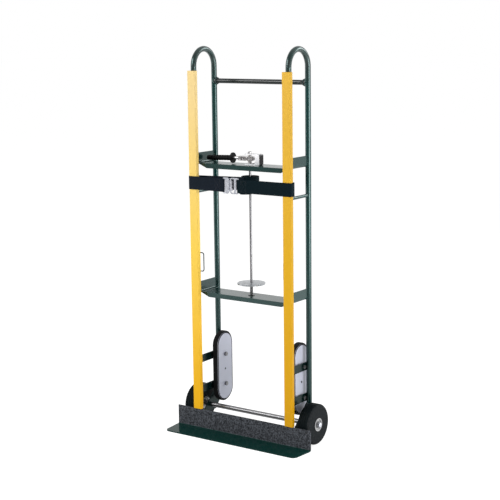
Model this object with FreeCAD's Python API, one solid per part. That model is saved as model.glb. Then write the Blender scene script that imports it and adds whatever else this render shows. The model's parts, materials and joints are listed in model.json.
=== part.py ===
"""Appliance hand truck with stair climbers and a ratchet strap tightener.

Millimetres, +Z up, +X to the truck's left-to-right, the load side faces -Y.
The model is drawn from the front face of the toe plate (Y = 0) and moved at the end, so that the origin
lies on the floor below the middle of the whole truck.
"""
import FreeCAD, Part
import math
import os

V = FreeCAD.Vector
X_AXIS = V(1, 0, 0)
Y_AXIS = V(0, 1, 0)
Z_AXIS = V(0, 0, 1)
ORIGIN = V(0, 0, 0)
LEFT = -1
RIGHT = 1
SIDES = {"left": LEFT, "right": RIGHT}

# Clearances that every piece shares
weld_gap = 0.05
soft_gap = 0.3
running_gap = 0.05
bolt_gap = 0.2
overrun = 5.0

# Side frames
overall_height = 1524.0
rail_spacing = 438.0
rail_depth = 132.0
tube_od = 22.2
tube_wall = 2.0
front_rail_foot_z = 6.0
rear_rail_foot_z = 128.0

# Toe plate
toe_width = 635.0
toe_front_width = 618.0
toe_height = 82.0
toe_reach = 100.0
toe_thickness = 4.8
toe_bend_radius = 8.0
toe_corner_radius = 20.0

# Top crossbar
crossbar_drop = 137.0
crossbar_od = 19.0
crossbar_wall = 2.0
crossbar_flare_od = 25.0
crossbar_flare_length = 16.0

# Shelves, the pressed cross members
upper_shelf_z = 1073.0
lower_shelf_z = 560.0
shelf_thickness = 3.0
shelf_end_height = 40.0
shelf_web_depth = 90.0
shelf_flange_height = 18.5
shelf_flange_clip = 46.0
shelf_bend_radius = 9.0

# Strap rungs and wire keepers
rung_z = 961.0
rung_od = 12.7
keeper_z = 682.0
keeper_height = 74.0
keeper_reach = 19.0
keeper_wire = 4.0
keeper_bend = 8.0
keeper_setback = 3.5

# Yellow rail covers
cover_width = 37.5
cover_depth = 16.5
cover_top_drop = 93.0
cover_setback = 2.0
cover_front_radius = 3.5
cover_back_radius = 1.5
cover_fit = 0.1

# Axle, gussets and wheels
axle_y = 91.0
axle_od = 12.7
wheel_od = 159.0
tyre_width = 50.0
tyre_shoulder_radius = 11.0
tyre_groove_depth = 1.6
tyre_groove_width = 3.0
tyre_notch_count = 36
tyre_notch_width = 5.0
tyre_notch_depth = 2.4
tyre_notch_length = 11.0
hub_od = 51.0
hub_width = 52.0
hub_dish_od = 42.0
hub_boss_od = 27.0
hub_dish_depth = 4.0
bush_od = 19.0
spacer_length = 24.0
spacer_od = 20.0
washer_od = 26.0
washer_thickness = 1.6
cap_od = 19.0
cap_height = 8.0
cap_wall = 1.5
cap_edge_radius = 3.0
gusset_thickness = 5.0
gusset_front_low_z = 18.0
gusset_front_high_z = 50.0
gusset_rear_high_z = 152.0
gusset_rear_low_z = 98.0
gusset_nose_drop = 27.0
gusset_nose_reach = 30.0

# Stair climbers
climber_y = 128.0
climber_z = 237.5
climber_straight = 181.5
climber_offset = 22.0
cheek_radius = 48.7
cheek_thickness = 3.0
core_radius = 45.2
core_thickness = 19.6
belt_fit = 0.3
belt_thickness = 9.0
belt_edge_radius = 2.0
cheek_hole_od = 9.0
climber_bolt_mid_z = 226.0
climber_bolt_spread = 124.0
climber_bolt_od = 8.0
bolt_head_width = 15.0
bolt_head_height = 5.3
nut_height = 8.0
bar_height = 31.0
bar_thickness = 4.0
climber_spacer_od = 16.0

# Strap tightener
spindle_y = 75.0
spindle_od = 9.5
spindle_top_z = 1124.0
spindle_tail = 12.0
foot_bush_od = 12.5
foot_bush_height = 42.0
foot_flange_od = 25.0
foot_flange_height = 3.0
disc_od = 110.0
disc_thickness = 2.5
disc_z = 613.0
disc_dish = 3.0
disc_rim = 5.0
disc_hub_od = 20.0
bracket_depth = 26.0
bracket_plate = 4.0
bracket_height = 43.0
bracket_wall_x = 50.0
bracket_nose_x = 16.0
bracket_bend_radius = 7.0
bracket_bolt_x = 20.0
bracket_bolt_spread = 15.0
bracket_bolt_od = 5.0
bracket_head_height = 3.0
bracket_head_width = 8.0
lever_z = 1097.0
lever_bar_od = 11.0
lever_length = 196.0
lever_neck = 28.0
lever_droop = 2.2
lever_head_radius = 18.0
lever_head_reach = 50.0
lever_head_width = 32.0
lever_block_length = 10.0
lever_plate = 3.0
ratchet_teeth = 12
ratchet_tip_radius = 21.0
ratchet_root_radius = 17.0
ratchet_thickness = 9.0
collar_od = 16.0
top_nut_width = 15.0
top_nut_height = 6.0
pawl_thickness = 8.0
pawl_boss_radius = 5.0
pawl_pin_od = 5.0
pawl_tip_width = 3.0
holding_pivot_x = 37.0
holding_pivot_y = -8.0
drive_pivot_x = -34.0
drive_pivot_y = 9.0
grip_od = 21.0
grip_flange_od = 41.0
grip_flange_width = 4.0
grip_end_wall = 4.0
grip_rib_depth = 1.0
grip_rib_count = 9

# Strap and buckle
strap_width = 50.0
strap_thickness = 1.8
strap_z = 997.0
strap_rise = 9.0
strap_bend = 1.7
strap_wrap_bend = 12.0
roll_gap = 0.6
roll_turns = 12
roll_samples_per_half_turn = 24
buckle_height = 62.0
buckle_plate = 3.0
buckle_bar = 5.0
buckle_corner_radius = 8.0
hook_left_x = -75.0
hook_right_x = -45.0
hook_plate_width = 20.0
loop_left_x = -40.0
loop_right_x = 0.0
loop_middle_x = -17.0
loop_middle_width = 9.5
hook_lip = 3.0
strap_tail = 38.0
strap_tail_rise = 9.0
strap_tail_gap = 0.1
strap_tail_bend = 5.0

# Places that follow from the sizes above
tube_r = tube_od / 2
rail_x = rail_spacing / 2
front_y = toe_thickness + tube_r
rear_y = front_y + rail_depth
axle_z = wheel_od / 2
crossbar_z = overall_height - crossbar_drop
cover_top_z = overall_height - cover_top_drop
bay_front_y = front_y + tube_r + weld_gap
bay_rear_y = rear_y - tube_r - weld_gap
cover_back_y = front_y - cover_setback
cover_front_y = cover_back_y - cover_depth
climber_outer_x = rail_x - climber_offset
climber_inner_x = climber_outer_x - core_thickness - 2 * cheek_thickness
belt_outer_radius = core_radius + belt_fit + belt_thickness
bar_outer_x = rail_x - tube_r - weld_gap
bar_inner_x = bar_outer_x - bar_thickness
bolt_zs = [climber_bolt_mid_z - climber_bolt_spread / 2, climber_bolt_mid_z + climber_bolt_spread / 2]
wheel_inner_x = rail_x + gusset_thickness / 2 + weld_gap + spacer_length + soft_gap
wheel_outer_x = wheel_inner_x + hub_width
axle_end_x = wheel_outer_x + soft_gap + washer_thickness + cap_height - cap_wall
spindle_r = spindle_od / 2
roll_pitch = strap_thickness + roll_gap
roll_inner_r = spindle_r + soft_gap + strap_thickness / 2
roll_outer_r = roll_inner_r + roll_turns * roll_pitch
roll_z = strap_z + strap_rise
bracket_top_z = upper_shelf_z + bracket_height
grip_length = lever_length + grip_end_wall - lever_head_reach - lever_neck
origin_y = (climber_y + belt_outer_radius - toe_reach) / 2


def box(x0, x1, y0, y1, z0, z1):
    """A block between two corners, given in any order."""
    low = V(min(x0, x1), min(y0, y1), min(z0, z1))
    return Part.makeBox(abs(x1 - x0), abs(y1 - y0), abs(z1 - z0), low)


def rod(radius, start, end):
    """A round bar from one point to another."""
    run = end - start
    return Part.makeCylinder(radius, run.Length, start, run)


def sleeve(outer_r, inner_r, start, end):
    """A round tube from one point to another."""
    run = (end - start).normalize()
    bore = rod(inner_r, start - run * overrun, end + run * overrun)
    return rod(outer_r, start, end).cut(bore)


def prism(points, depth):
    """A flat outline with straight sides, given its depth as a vector."""
    return Part.Face(Part.makePolygon(points + points[:1])).extrude(depth)


def revolve(profile, centre, axis, across):
    """A turned piece: the profile holds (distance along the axis, radius) pairs."""
    points = [centre + axis * along + across * radius for along, radius in profile]
    return Part.Face(Part.makePolygon(points + points[:1])).revolve(centre, axis, 360)


def hexagon(width, start, height_vector, across):
    """A six-sided bolt head or nut."""
    side = height_vector.cross(across).normalize()
    radius = width / math.sqrt(3)
    corners = []
    for index in range(6):
        angle = math.radians(60 * index)
        corners.append(start + across * (radius * math.cos(angle)) + side * (radius * math.sin(angle)))
    return prism(corners, height_vector)


def stadium(x0, x1, radius):
    """An upright oblong with round ends, centred on the stair climber."""
    half = climber_straight / 2
    low = climber_z - half
    high = climber_z + half
    left = climber_y - radius
    right = climber_y + radius
    edges = [
        Part.LineSegment(V(x0, left, high), V(x0, left, low)).toShape(),
        Part.Arc(V(x0, left, low), V(x0, climber_y, low - radius), V(x0, right, low)).toShape(),
        Part.LineSegment(V(x0, right, low), V(x0, right, high)).toShape(),
        Part.Arc(V(x0, right, high), V(x0, climber_y, high + radius), V(x0, left, high)).toShape(),
    ]
    return Part.Face(Part.Wire(edges)).extrude(V(x1 - x0, 0, 0))


def mirrored(shape, side):
    """The right-hand piece, or its mirror image on the left."""
    if side == RIGHT:
        return shape
    return shape.mirror(ORIGIN, X_AXIS)


def rail_rods(radius):
    """The right-hand front and rear rails as plain bars, for cutting fitted ends."""
    rods = []
    for y in (front_y, rear_y):
        rods.append(rod(radius, V(rail_x, y, 0), V(rail_x, y, overall_height)))
    return Part.makeCompound(rods)


nodes = {}


def keep(name, *solids):
    """Store the solids of one named piece."""
    nodes[name] = solids[0] if len(solids) == 1 else Part.makeCompound(list(solids))


# Frame
def side_frame():
    """Front rail, handle loop and rear rail, bent from one tube."""
    bend = rail_depth / 2
    bend_z = overall_height - tube_r - bend
    foot = V(rail_x, front_y, front_rail_foot_z)
    start = V(rail_x, front_y, bend_z)
    top = V(rail_x, front_y + bend, bend_z + bend)
    end = V(rail_x, rear_y, bend_z)
    tail = V(rail_x, rear_y, rear_rail_foot_z)
    path = Part.Wire([
        Part.LineSegment(foot, start).toShape(),
        Part.Arc(start, top, end).toShape(),
        Part.LineSegment(end, tail).toShape(),
    ])
    outer = Part.Wire(Part.makeCircle(tube_r, foot, Z_AXIS))
    bore = Part.Wire(Part.makeCircle(tube_r - tube_wall, foot, Z_AXIS))
    return path.makePipeShell([outer], True, False).cut(path.makePipeShell([bore], True, False))


def top_crossbar():
    """Tube between the rear rails, with its ends flared into the welds."""
    end = rail_x - tube_r / 2
    flare = rail_x - tube_r - crossbar_flare_length
    bar_r = crossbar_od / 2
    profile = [
        (-end, 0), (-end, crossbar_flare_od / 2), (-rail_x + tube_r, crossbar_flare_od / 2),
        (-flare, bar_r), (flare, bar_r),
        (rail_x - tube_r, crossbar_flare_od / 2), (end, crossbar_flare_od / 2), (end, 0),
    ]
    centre = V(0, rear_y, crossbar_z)
    bar = revolve(profile, centre, X_AXIS, Z_AXIS)
    bore_end = V(rail_x, 0, 0)
    bar = bar.cut(rod(bar_r - crossbar_wall, centre - bore_end, centre + bore_end))
    rails = rail_rods(tube_r + weld_gap)
    return bar.cut(rails).cut(mirrored(rails, LEFT))


def shelf(top_z, holes):
    """Pressed cross member: web, upturned ends between the rails and a clipped front flange."""
    end_x = rail_x + shelf_thickness / 2
    inner_x = end_x - shelf_thickness
    low_z = top_z - shelf_thickness
    depth = V(0, bay_rear_y - bay_front_y, 0)
    y = bay_front_y
    outer = box(-end_x, end_x, y, bay_rear_y, low_z, top_z + shelf_end_height)
    corners = [e for e in outer.Edges if abs(e.CenterOfMass.z - low_z) < weld_gap and e.Length > depth.y / 2
               and abs(abs(e.CenterOfMass.x) - end_x) < weld_gap]
    outer = outer.makeFillet(shelf_bend_radius, corners)
    inner = box(-inner_x, inner_x, y, bay_rear_y, top_z, top_z + shelf_end_height)
    corners = [e for e in inner.Edges if abs(e.CenterOfMass.z - top_z) < weld_gap
               and abs(abs(e.CenterOfMass.x) - inner_x) < weld_gap]
    inner = inner.makeFillet(shelf_bend_radius - shelf_thickness, corners)
    tray = outer.cut(inner)
    web_end = inner_x - shelf_bend_radius
    back = box(-web_end, web_end, y + shelf_web_depth, bay_rear_y + overrun, low_z - overrun, top_z + overrun)
    tray = tray.cut(back)
    flange_low_z = top_z - shelf_flange_height
    clip_x = rail_x - shelf_flange_clip
    flange = prism([V(-web_end, y, low_z), V(web_end, y, low_z), V(clip_x, y, flange_low_z),
                    V(-clip_x, y, flange_low_z)], V(0, shelf_thickness, 0))
    tray = tray.fuse(flange).removeSplitter()
    for x, hole_y, radius in holes:
        tray = tray.cut(rod(radius, V(x, hole_y, low_z - overrun), V(x, hole_y, top_z + overrun)))
    return tray


def strap_rung():
    """Round bar between the front and rear rail, below the strap."""
    bar = rod(rung_od / 2, V(rail_x, front_y, rung_z), V(rail_x, rear_y, rung_z))
    return bar.cut(rail_rods(tube_r + weld_gap))


def strap_keeper():
    """Bent wire staple on the inner side of the front rail."""
    y = front_y + keeper_setback
    low = keeper_z - keeper_height / 2
    high = keeper_z + keeper_height / 2
    out = rail_x - tube_r - keeper_reach
    slant = keeper_bend * (1 - math.sqrt(0.5))
    path = Part.Wire([
        Part.LineSegment(V(rail_x, y, high), V(out + keeper_bend, y, high)).toShape(),
        Part.Arc(V(out + keeper_bend, y, high), V(out + slant, y, high - slant),
                 V(out, y, high - keeper_bend)).toShape(),
        Part.LineSegment(V(out, y, high - keeper_bend), V(out, y, low + keeper_bend)).toShape(),
        Part.Arc(V(out, y, low + keeper_bend), V(out + slant, y, low + slant),
                 V(out + keeper_bend, y, low)).toShape(),
        Part.LineSegment(V(out + keeper_bend, y, low), V(rail_x, y, low)).toShape(),
    ])
    section = Part.Wire(Part.makeCircle(keeper_wire / 2, V(rail_x, y, high), X_AXIS))
    return path.makePipeShell([section], True, False).cut(rail_rods(tube_r + weld_gap))


def toe_plate():
    """Bent plate: upright wall behind the load and a tapered lip under it."""
    half = max(toe_width, toe_front_width) / 2 + overrun
    bend = toe_bend_radius
    inner = bend - toe_thickness
    slant = math.sqrt(0.5)
    back_y = toe_thickness
    centre_y = back_y - bend
    inner_z = toe_thickness + inner

    def side(y, z):
        return V(-half, y, z)

    edges = [
        Part.LineSegment(side(0, toe_height), side(0, inner_z)),
        Part.Arc(side(0, inner_z), side(inner * slant - inner, inner_z - inner * slant),
                 side(-inner, toe_thickness)),
        Part.LineSegment(side(-inner, toe_thickness), side(-toe_reach, toe_thickness)),
        Part.LineSegment(side(-toe_reach, toe_thickness), side(-toe_reach, 0)),
        Part.LineSegment(side(-toe_reach, 0), side(centre_y, 0)),
        Part.Arc(side(centre_y, 0), side(centre_y + bend * slant, bend - bend * slant), side(back_y, bend)),
        Part.LineSegment(side(back_y, bend), side(back_y, toe_height)),
        Part.LineSegment(side(back_y, toe_height), side(0, toe_height)),
    ]
    strip = Part.Face(Part.Wire([edge.toShape() for edge in edges])).extrude(V(2 * half, 0, 0))
    wide = toe_width / 2
    narrow = toe_front_width / 2
    plan_points = [V(-wide, back_y + overrun, 0), V(-wide, centre_y, 0), V(-narrow, -toe_reach, 0),
                   V(narrow, -toe_reach, 0), V(wide, centre_y, 0), V(wide, back_y + overrun, 0)]
    blank = prism(plan_points, V(0, 0, toe_height))
    corners = [e for e in blank.Edges if abs(e.CenterOfMass.y + toe_reach) < weld_gap
               and abs(e.Length - toe_height) < weld_gap and abs(e.CenterOfMass.x) > narrow / 2]
    return strip.common(blank.makeFillet(toe_corner_radius, corners))


def axle_gusset():
    """Side plate between the rails that carries the axle and the foot of the rear rail."""
    tube_front = bay_rear_y
    tube_back = rear_y + tube_r
    seat_z = rear_rail_foot_z - weld_gap
    x = rail_x - gusset_thickness / 2
    nose_z = axle_z - gusset_nose_drop
    points = [
        V(x, bay_front_y, gusset_front_low_z), V(x, bay_front_y, gusset_front_high_z),
        V(x, tube_front, gusset_rear_high_z), V(x, tube_front, seat_z), V(x, tube_back, seat_z),
        V(x, tube_back, gusset_rear_low_z), V(x, axle_y + gusset_nose_reach, nose_z),
        V(x, axle_y - gusset_nose_reach, nose_z),
    ]
    plate = prism(points, V(gusset_thickness, 0, 0))
    bore = rod(axle_od / 2 + weld_gap, V(x - overrun, axle_y, axle_z), V(x + 2 * overrun, axle_y, axle_z))
    return plate.cut(bore)


def rail_cover():
    """Extruded yellow guard with a round groove that seats on the front rail."""
    half = cover_width / 2
    low_z = toe_height + soft_gap
    bar = box(rail_x - half, rail_x + half, cover_front_y, cover_back_y, low_z, cover_top_z)
    upright = [e for e in bar.Edges if e.Length > cover_top_z / 2]
    front = [e for e in upright if abs(e.CenterOfMass.y - cover_front_y) < weld_gap]
    bar = bar.makeFillet(cover_front_radius, front)
    upright = [e for e in bar.Edges if e.Length > cover_top_z / 2]
    back = [e for e in upright if abs(e.CenterOfMass.y - cover_back_y) < weld_gap]
    bar = bar.makeFillet(cover_back_radius, back)
    return bar.cut(rail_rods(tube_r + cover_fit))


keep("top_crossbar", top_crossbar())
bracket_bolt_ys = [spindle_y - bracket_bolt_spread / 2, spindle_y + bracket_bolt_spread / 2]
bracket_bolt_r = bracket_bolt_od / 2
upper_holes = [(0, spindle_y, spindle_r + bolt_gap)]
for bolt_y in bracket_bolt_ys:
    upper_holes.append((bracket_bolt_x, bolt_y, bracket_bolt_r + weld_gap))
keep("upper_shelf", shelf(upper_shelf_z, upper_holes))
keep("lower_shelf", shelf(lower_shelf_z, [(0, spindle_y, spindle_r + bolt_gap)]))
keep("toe_plate", toe_plate())
for name, side in SIDES.items():
    keep("side_frame_" + name, mirrored(side_frame(), side))
    keep("strap_rung_" + name, mirrored(strap_rung(), side))
    keep("strap_keeper_" + name, mirrored(strap_keeper(), side))
    keep("axle_gusset_" + name, mirrored(axle_gusset(), side))
    keep("rail_cover_" + name, mirrored(rail_cover(), side))


# Wheels, turned about the axle
def wheel_profile(profile):
    """A turned wheel piece on the right: (distance from the inner hub face, radius) pairs."""
    return revolve(profile, V(wheel_inner_x, axle_y, axle_z), X_AXIS, Z_AXIS)


def tyre():
    """Solid rubber tyre with round shoulders, three tread grooves and a ring of notches at each shoulder."""
    low = (hub_width - tyre_width) / 2
    high = low + tyre_width
    outer = wheel_od / 2
    body = wheel_profile([(low, hub_od / 2), (low, outer), (high, outer), (high, hub_od / 2)])
    shoulders = [e for e in body.Edges if abs(e.BoundBox.ZLength - wheel_od) < weld_gap
                 and len(e.Vertexes) == 1]
    body = body.makeFillet(tyre_shoulder_radius, shoulders)
    middle = hub_width / 2
    spacing = (tyre_width - 2 * tyre_shoulder_radius) / 3
    root = outer - tyre_groove_depth
    for step in (-1, 0, 1):
        start = middle + step * spacing - tyre_groove_width / 2
        end = start + tyre_groove_width
        top = outer + overrun
        body = body.cut(wheel_profile([(start, root), (start, top), (end, top), (end, root)]))
    half = tyre_notch_width / 2
    notch_root = axle_z + outer - tyre_notch_depth
    notches = []
    for start, end in ((low - overrun, low + tyre_notch_length), (high - tyre_notch_length, high + overrun)):
        for index in range(tyre_notch_count):
            notch = box(wheel_inner_x + start, wheel_inner_x + end, axle_y - half, axle_y + half,
                        notch_root, notch_root + tyre_notch_depth + overrun)
            notch.rotate(V(0, axle_y, axle_z), X_AXIS, index * 360 / tyre_notch_count)
            notches.append(notch)
    return body.cut(notches)


def hub():
    """Pressed hub with a dished ring on each face."""
    dish_r = hub_dish_od / 2
    boss_r = hub_boss_od / 2
    near = hub_dish_depth
    far = hub_width - hub_dish_depth
    return wheel_profile([
        (0, bush_od / 2), (0, boss_r), (near, boss_r), (near, dish_r), (0, dish_r), (0, hub_od / 2),
        (hub_width, hub_od / 2), (hub_width, dish_r), (far, dish_r), (far, boss_r), (hub_width, boss_r),
        (hub_width, bush_od / 2),
    ])


def wheel_bush():
    """Plain bush pressed into the hub, which turns on the axle."""
    bore = axle_od / 2 + running_gap
    return wheel_profile([(0, bore), (0, bush_od / 2), (hub_width, bush_od / 2), (hub_width, bore)])


def axle_cap():
    """Domed push-on cap over the axle's end."""
    start = hub_width + soft_gap + washer_thickness
    end = start + cap_height
    outer = cap_od / 2
    bore = axle_od / 2 + weld_gap
    cap = wheel_profile([(start, bore), (start, outer), (end, outer), (end, 0), (end - cap_wall, 0),
                         (end - cap_wall, bore)])
    rim = [e for e in cap.Edges if abs(e.BoundBox.ZLength - cap_od) < weld_gap
           and abs(e.CenterOfMass.x - wheel_inner_x - end) < weld_gap and len(e.Vertexes) == 1]
    return cap.makeFillet(cap_edge_radius, rim)


def on_axle(outer_r, inner_r, start, end):
    """A ring on the right-hand end of the axle."""
    return sleeve(outer_r, inner_r, V(start, axle_y, axle_z), V(end, axle_y, axle_z))


axle_half = axle_end_x - weld_gap
keep("axle", rod(axle_od / 2, V(-axle_half, axle_y, axle_z), V(axle_half, axle_y, axle_z)))
axle_bore = axle_od / 2 + weld_gap
spacer_start = rail_x + gusset_thickness / 2 + weld_gap
washer_start = wheel_outer_x + soft_gap
spacer_ring = on_axle(spacer_od / 2, axle_bore, spacer_start, spacer_start + spacer_length)
washer_ring = on_axle(washer_od / 2, axle_bore, washer_start, washer_start + washer_thickness)
keep("axle_spacers", spacer_ring, mirrored(spacer_ring, LEFT))
keep("axle_washers", washer_ring, mirrored(washer_ring, LEFT))
keep("axle_caps", axle_cap(), mirrored(axle_cap(), LEFT))
for name, side in SIDES.items():
    keep("tyre_" + name, mirrored(tyre(), side))
    keep("wheel_hub_" + name, mirrored(hub(), side))
    keep("wheel_bush_" + name, mirrored(wheel_bush(), side))


# Stair climbers
def through_holes(shape, x0, x1, radius):
    """Cut the two bolt holes of a climber through a shape."""
    for z in bolt_zs:
        shape = shape.cut(rod(radius, V(x0 - overrun, climber_y, z), V(x1 + overrun, climber_y, z)))
    return shape


def cheek(x0):
    """Oblong side plate with two bolt holes and a drain hole between them."""
    x1 = x0 + cheek_thickness
    plate = through_holes(stadium(x0, x1, cheek_radius), x0, x1, climber_bolt_od / 2 + bolt_gap)
    middle_z = climber_bolt_mid_z
    hole = rod(cheek_hole_od / 2, V(x0 - overrun, climber_y, middle_z), V(x1 + overrun, climber_y, middle_z))
    return plate.cut(hole)


def climber_core():
    """Oblong slide that the belt runs round, between the cheeks."""
    x0 = climber_inner_x + cheek_thickness + weld_gap
    x1 = x0 + core_thickness - 2 * weld_gap
    return through_holes(stadium(x0, x1, core_radius), x0, x1, climber_bolt_od / 2 + bolt_gap)


def climber_belt():
    """Endless rubber belt with rounded edges."""
    x0 = climber_inner_x + cheek_thickness + belt_fit
    x1 = climber_outer_x - cheek_thickness - belt_fit
    belt = stadium(x0, x1, belt_outer_radius)
    rims = [e for e in belt.Edges if min(abs(e.CenterOfMass.x - x0), abs(e.CenterOfMass.x - x1)) < weld_gap]
    belt = belt.makeFillet(belt_edge_radius, rims)
    return belt.cut(stadium(x0 - overrun, x1 + overrun, core_radius + belt_fit))


def climber_bar(z):
    """Flat bar across the inner sides of the rails, which a climber is bolted to."""
    half = bar_height / 2
    bar = box(bar_inner_x, bar_outer_x, front_y, rear_y, z - half, z + half)
    hole_r = climber_bolt_od / 2 + bolt_gap
    hole_end = V(bar_outer_x + overrun, climber_y, z)
    return bar.cut(rod(hole_r, V(bar_inner_x - overrun, climber_y, z), hole_end))


def climber_bolt(z):
    """Bolt from outside the bar to the nut on the inner cheek."""
    head_x = bar_outer_x + weld_gap
    tip_x = climber_inner_x - nut_height
    shank = rod(climber_bolt_od / 2, V(tip_x, climber_y, z), V(head_x, climber_y, z))
    return shank.fuse(hexagon(bolt_head_width, V(head_x, climber_y, z), V(bolt_head_height, 0, 0), Y_AXIS))


def climber_nut(z):
    """Nut on the inner cheek."""
    face_x = climber_inner_x - weld_gap
    nut = hexagon(bolt_head_width, V(face_x, climber_y, z), V(weld_gap - nut_height, 0, 0), Y_AXIS)
    bore_r = climber_bolt_od / 2 + weld_gap
    bore_end = V(face_x + nut_height, climber_y, z)
    return nut.cut(rod(bore_r, V(face_x - 2 * nut_height, climber_y, z), bore_end))


def climber_spacer(z):
    """Tube that holds the outer cheek off the bar."""
    start = V(climber_outer_x + weld_gap, climber_y, z)
    end = V(bar_inner_x - weld_gap, climber_y, z)
    return sleeve(climber_spacer_od / 2, climber_bolt_od / 2 + bolt_gap, start, end)


for name, side in SIDES.items():
    keep("climber_inner_cheek_" + name, mirrored(cheek(climber_inner_x), side))
    keep("climber_outer_cheek_" + name, mirrored(cheek(climber_outer_x - cheek_thickness), side))
    keep("climber_core_" + name, mirrored(climber_core(), side))
    keep("climber_belt_" + name, mirrored(climber_belt(), side))
    keep("climber_bars_" + name, *[mirrored(climber_bar(z), side) for z in bolt_zs])
    keep("climber_bolts_" + name, *[mirrored(climber_bolt(z), side) for z in bolt_zs])
    keep("climber_nuts_" + name, *[mirrored(climber_nut(z), side) for z in bolt_zs])
    keep("climber_spacers_" + name, *[mirrored(climber_spacer(z), side) for z in bolt_zs])


# Strap tightener
def on_spindle(x, y, z):
    """A point given from the spindle's axis."""
    return V(x, spindle_y + y, z)


def spindle_turned(profile):
    """A piece turned about the spindle: (height, radius) pairs."""
    return revolve(profile, V(0, spindle_y, 0), Z_AXIS, X_AXIS)


def foot_bush():
    """Flanged bush on the lower shelf, in which the spindle's foot turns."""
    bore = spindle_r + running_gap
    seat = lower_shelf_z + weld_gap
    return spindle_turned([
        (seat, bore), (seat, foot_flange_od / 2), (seat + foot_flange_height, foot_flange_od / 2),
        (seat + foot_flange_height, foot_bush_od / 2), (seat + foot_bush_height, foot_bush_od / 2),
        (seat + foot_bush_height, bore),
    ])


def hand_disc():
    """Dished disc with a turned-down rim and a hub, for spinning the spindle by hand."""
    bore = spindle_r
    hub_r = disc_hub_od / 2
    edge = disc_od / 2
    hub_low = lower_shelf_z + weld_gap + foot_bush_height + soft_gap
    rim_z = disc_z - disc_dish
    return spindle_turned([
        (hub_low, bore), (hub_low, hub_r), (disc_z - disc_thickness, hub_r),
        (rim_z - disc_thickness, edge - disc_thickness), (rim_z - disc_rim, edge - disc_thickness),
        (rim_z - disc_rim, edge), (rim_z, edge), (disc_z, hub_r), (disc_z, bore),
    ])


def ratchet_wheel():
    """Saw-toothed wheel fixed on the spindle."""
    low = lever_z - ratchet_thickness / 2
    points = []
    for index in range(ratchet_teeth):
        angle = 2 * math.pi * index / ratchet_teeth
        for radius in (ratchet_tip_radius, ratchet_root_radius):
            points.append(on_spindle(radius * math.cos(angle), radius * math.sin(angle), low))
    wheel = prism(points, V(0, 0, ratchet_thickness))
    high = low + ratchet_thickness + overrun
    return wheel.cut(rod(spindle_r, on_spindle(0, 0, low - overrun), on_spindle(0, 0, high)))


def tightener_bracket():
    """Bent strip: foot on the upper shelf, wall and top plate that steadies the spindle."""
    seat = upper_shelf_z + weld_gap
    half = bracket_depth / 2
    y0 = spindle_y - half
    y1 = spindle_y + half
    wall = bracket_wall_x + bracket_plate
    outer = box(-bracket_nose_x, wall, y0, y1, seat, bracket_top_z)
    bends = [e for e in outer.Edges if abs(e.CenterOfMass.x - wall) < weld_gap
             and abs(e.Length - bracket_depth) < weld_gap]
    outer = outer.makeFillet(bracket_bend_radius, bends)
    inner = box(-bracket_nose_x - overrun, bracket_wall_x, y0 - overrun, y1 + overrun,
                seat + bracket_plate, bracket_top_z - bracket_plate)
    bends = [e for e in inner.Edges if abs(e.CenterOfMass.x - bracket_wall_x) < weld_gap
             and e.Length > bracket_depth]
    inner = inner.makeFillet(bracket_bend_radius - bracket_plate, bends)
    strip = outer.cut(inner)
    bore_r = spindle_r + running_gap
    bore_top = on_spindle(0, 0, bracket_top_z + overrun)
    strip = strip.cut(rod(bore_r, on_spindle(0, 0, seat - overrun), bore_top))
    for y in bracket_bolt_ys:
        low = V(bracket_bolt_x, y, seat - overrun)
        strip = strip.cut(rod(bracket_bolt_r + weld_gap, low, low + V(0, 0, 2 * overrun + bracket_plate)))
    return strip


def bracket_bolt(y):
    """Screw through the bracket's foot and the shelf."""
    head_z = upper_shelf_z + bracket_plate + 2 * weld_gap
    top = V(bracket_bolt_x, y, head_z)
    shank = rod(bracket_bolt_r, V(bracket_bolt_x, y, upper_shelf_z - 2 * shelf_thickness), top)
    return shank.fuse(hexagon(bracket_head_width, top, V(0, 0, bracket_head_height), X_AXIS))


def collar(low, high):
    """Loose sleeve on the spindle that keeps the lever's height."""
    return sleeve(collar_od / 2, spindle_r + running_gap, on_spindle(0, 0, low), on_spindle(0, 0, high))


def drooped(shape):
    """Tip a piece of the lever down about the end of its head."""
    turned = shape.copy()
    turned.rotate(on_spindle(-lever_head_reach, 0, lever_z), Y_AXIS, -lever_droop)
    return turned


def lever_arm():
    """Forked head of two plates round the ratchet wheel, and the round bar that carries the grip."""
    gap = lever_bar_od / 2
    half = lever_head_width / 2
    pieces = []
    for low in (lever_z - gap - lever_plate, lever_z + gap):
        rise = V(0, 0, lever_plate)
        disc = Part.makeCylinder(lever_head_radius, lever_plate, on_spindle(0, 0, low))
        tongue = box(-lever_head_reach, 0, spindle_y - half, spindle_y + half, low, low + lever_plate)
        tips = [e for e in tongue.Edges if abs(e.Length - lever_plate) < weld_gap
                and e.CenterOfMass.x < -weld_gap]
        tongue = tongue.makeFillet(half / 2, tips)
        bore = rod(spindle_r + running_gap, on_spindle(0, 0, low) - rise, on_spindle(0, 0, low) + rise * 2)
        pieces.append(disc.fuse(tongue).cut(bore))
    block_end = -lever_head_reach + lever_block_length
    block_half = half / 2
    pieces.append(box(-lever_head_reach, block_end, spindle_y - block_half, spindle_y + block_half,
                      lever_z - gap, lever_z + gap))
    pieces.append(drooped(rod(gap, on_spindle(-lever_length, 0, lever_z), on_spindle(block_end, 0, lever_z))))
    pin_reach = 2 * lever_bar_od
    pin_hole = rod(pawl_pin_od / 2, on_spindle(drive_pivot_x, drive_pivot_y, lever_z - pin_reach),
                   on_spindle(drive_pivot_x, drive_pivot_y, lever_z + pin_reach))
    return pieces[0].fuse(pieces[1:]).removeSplitter().cut(pin_hole)


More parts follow.
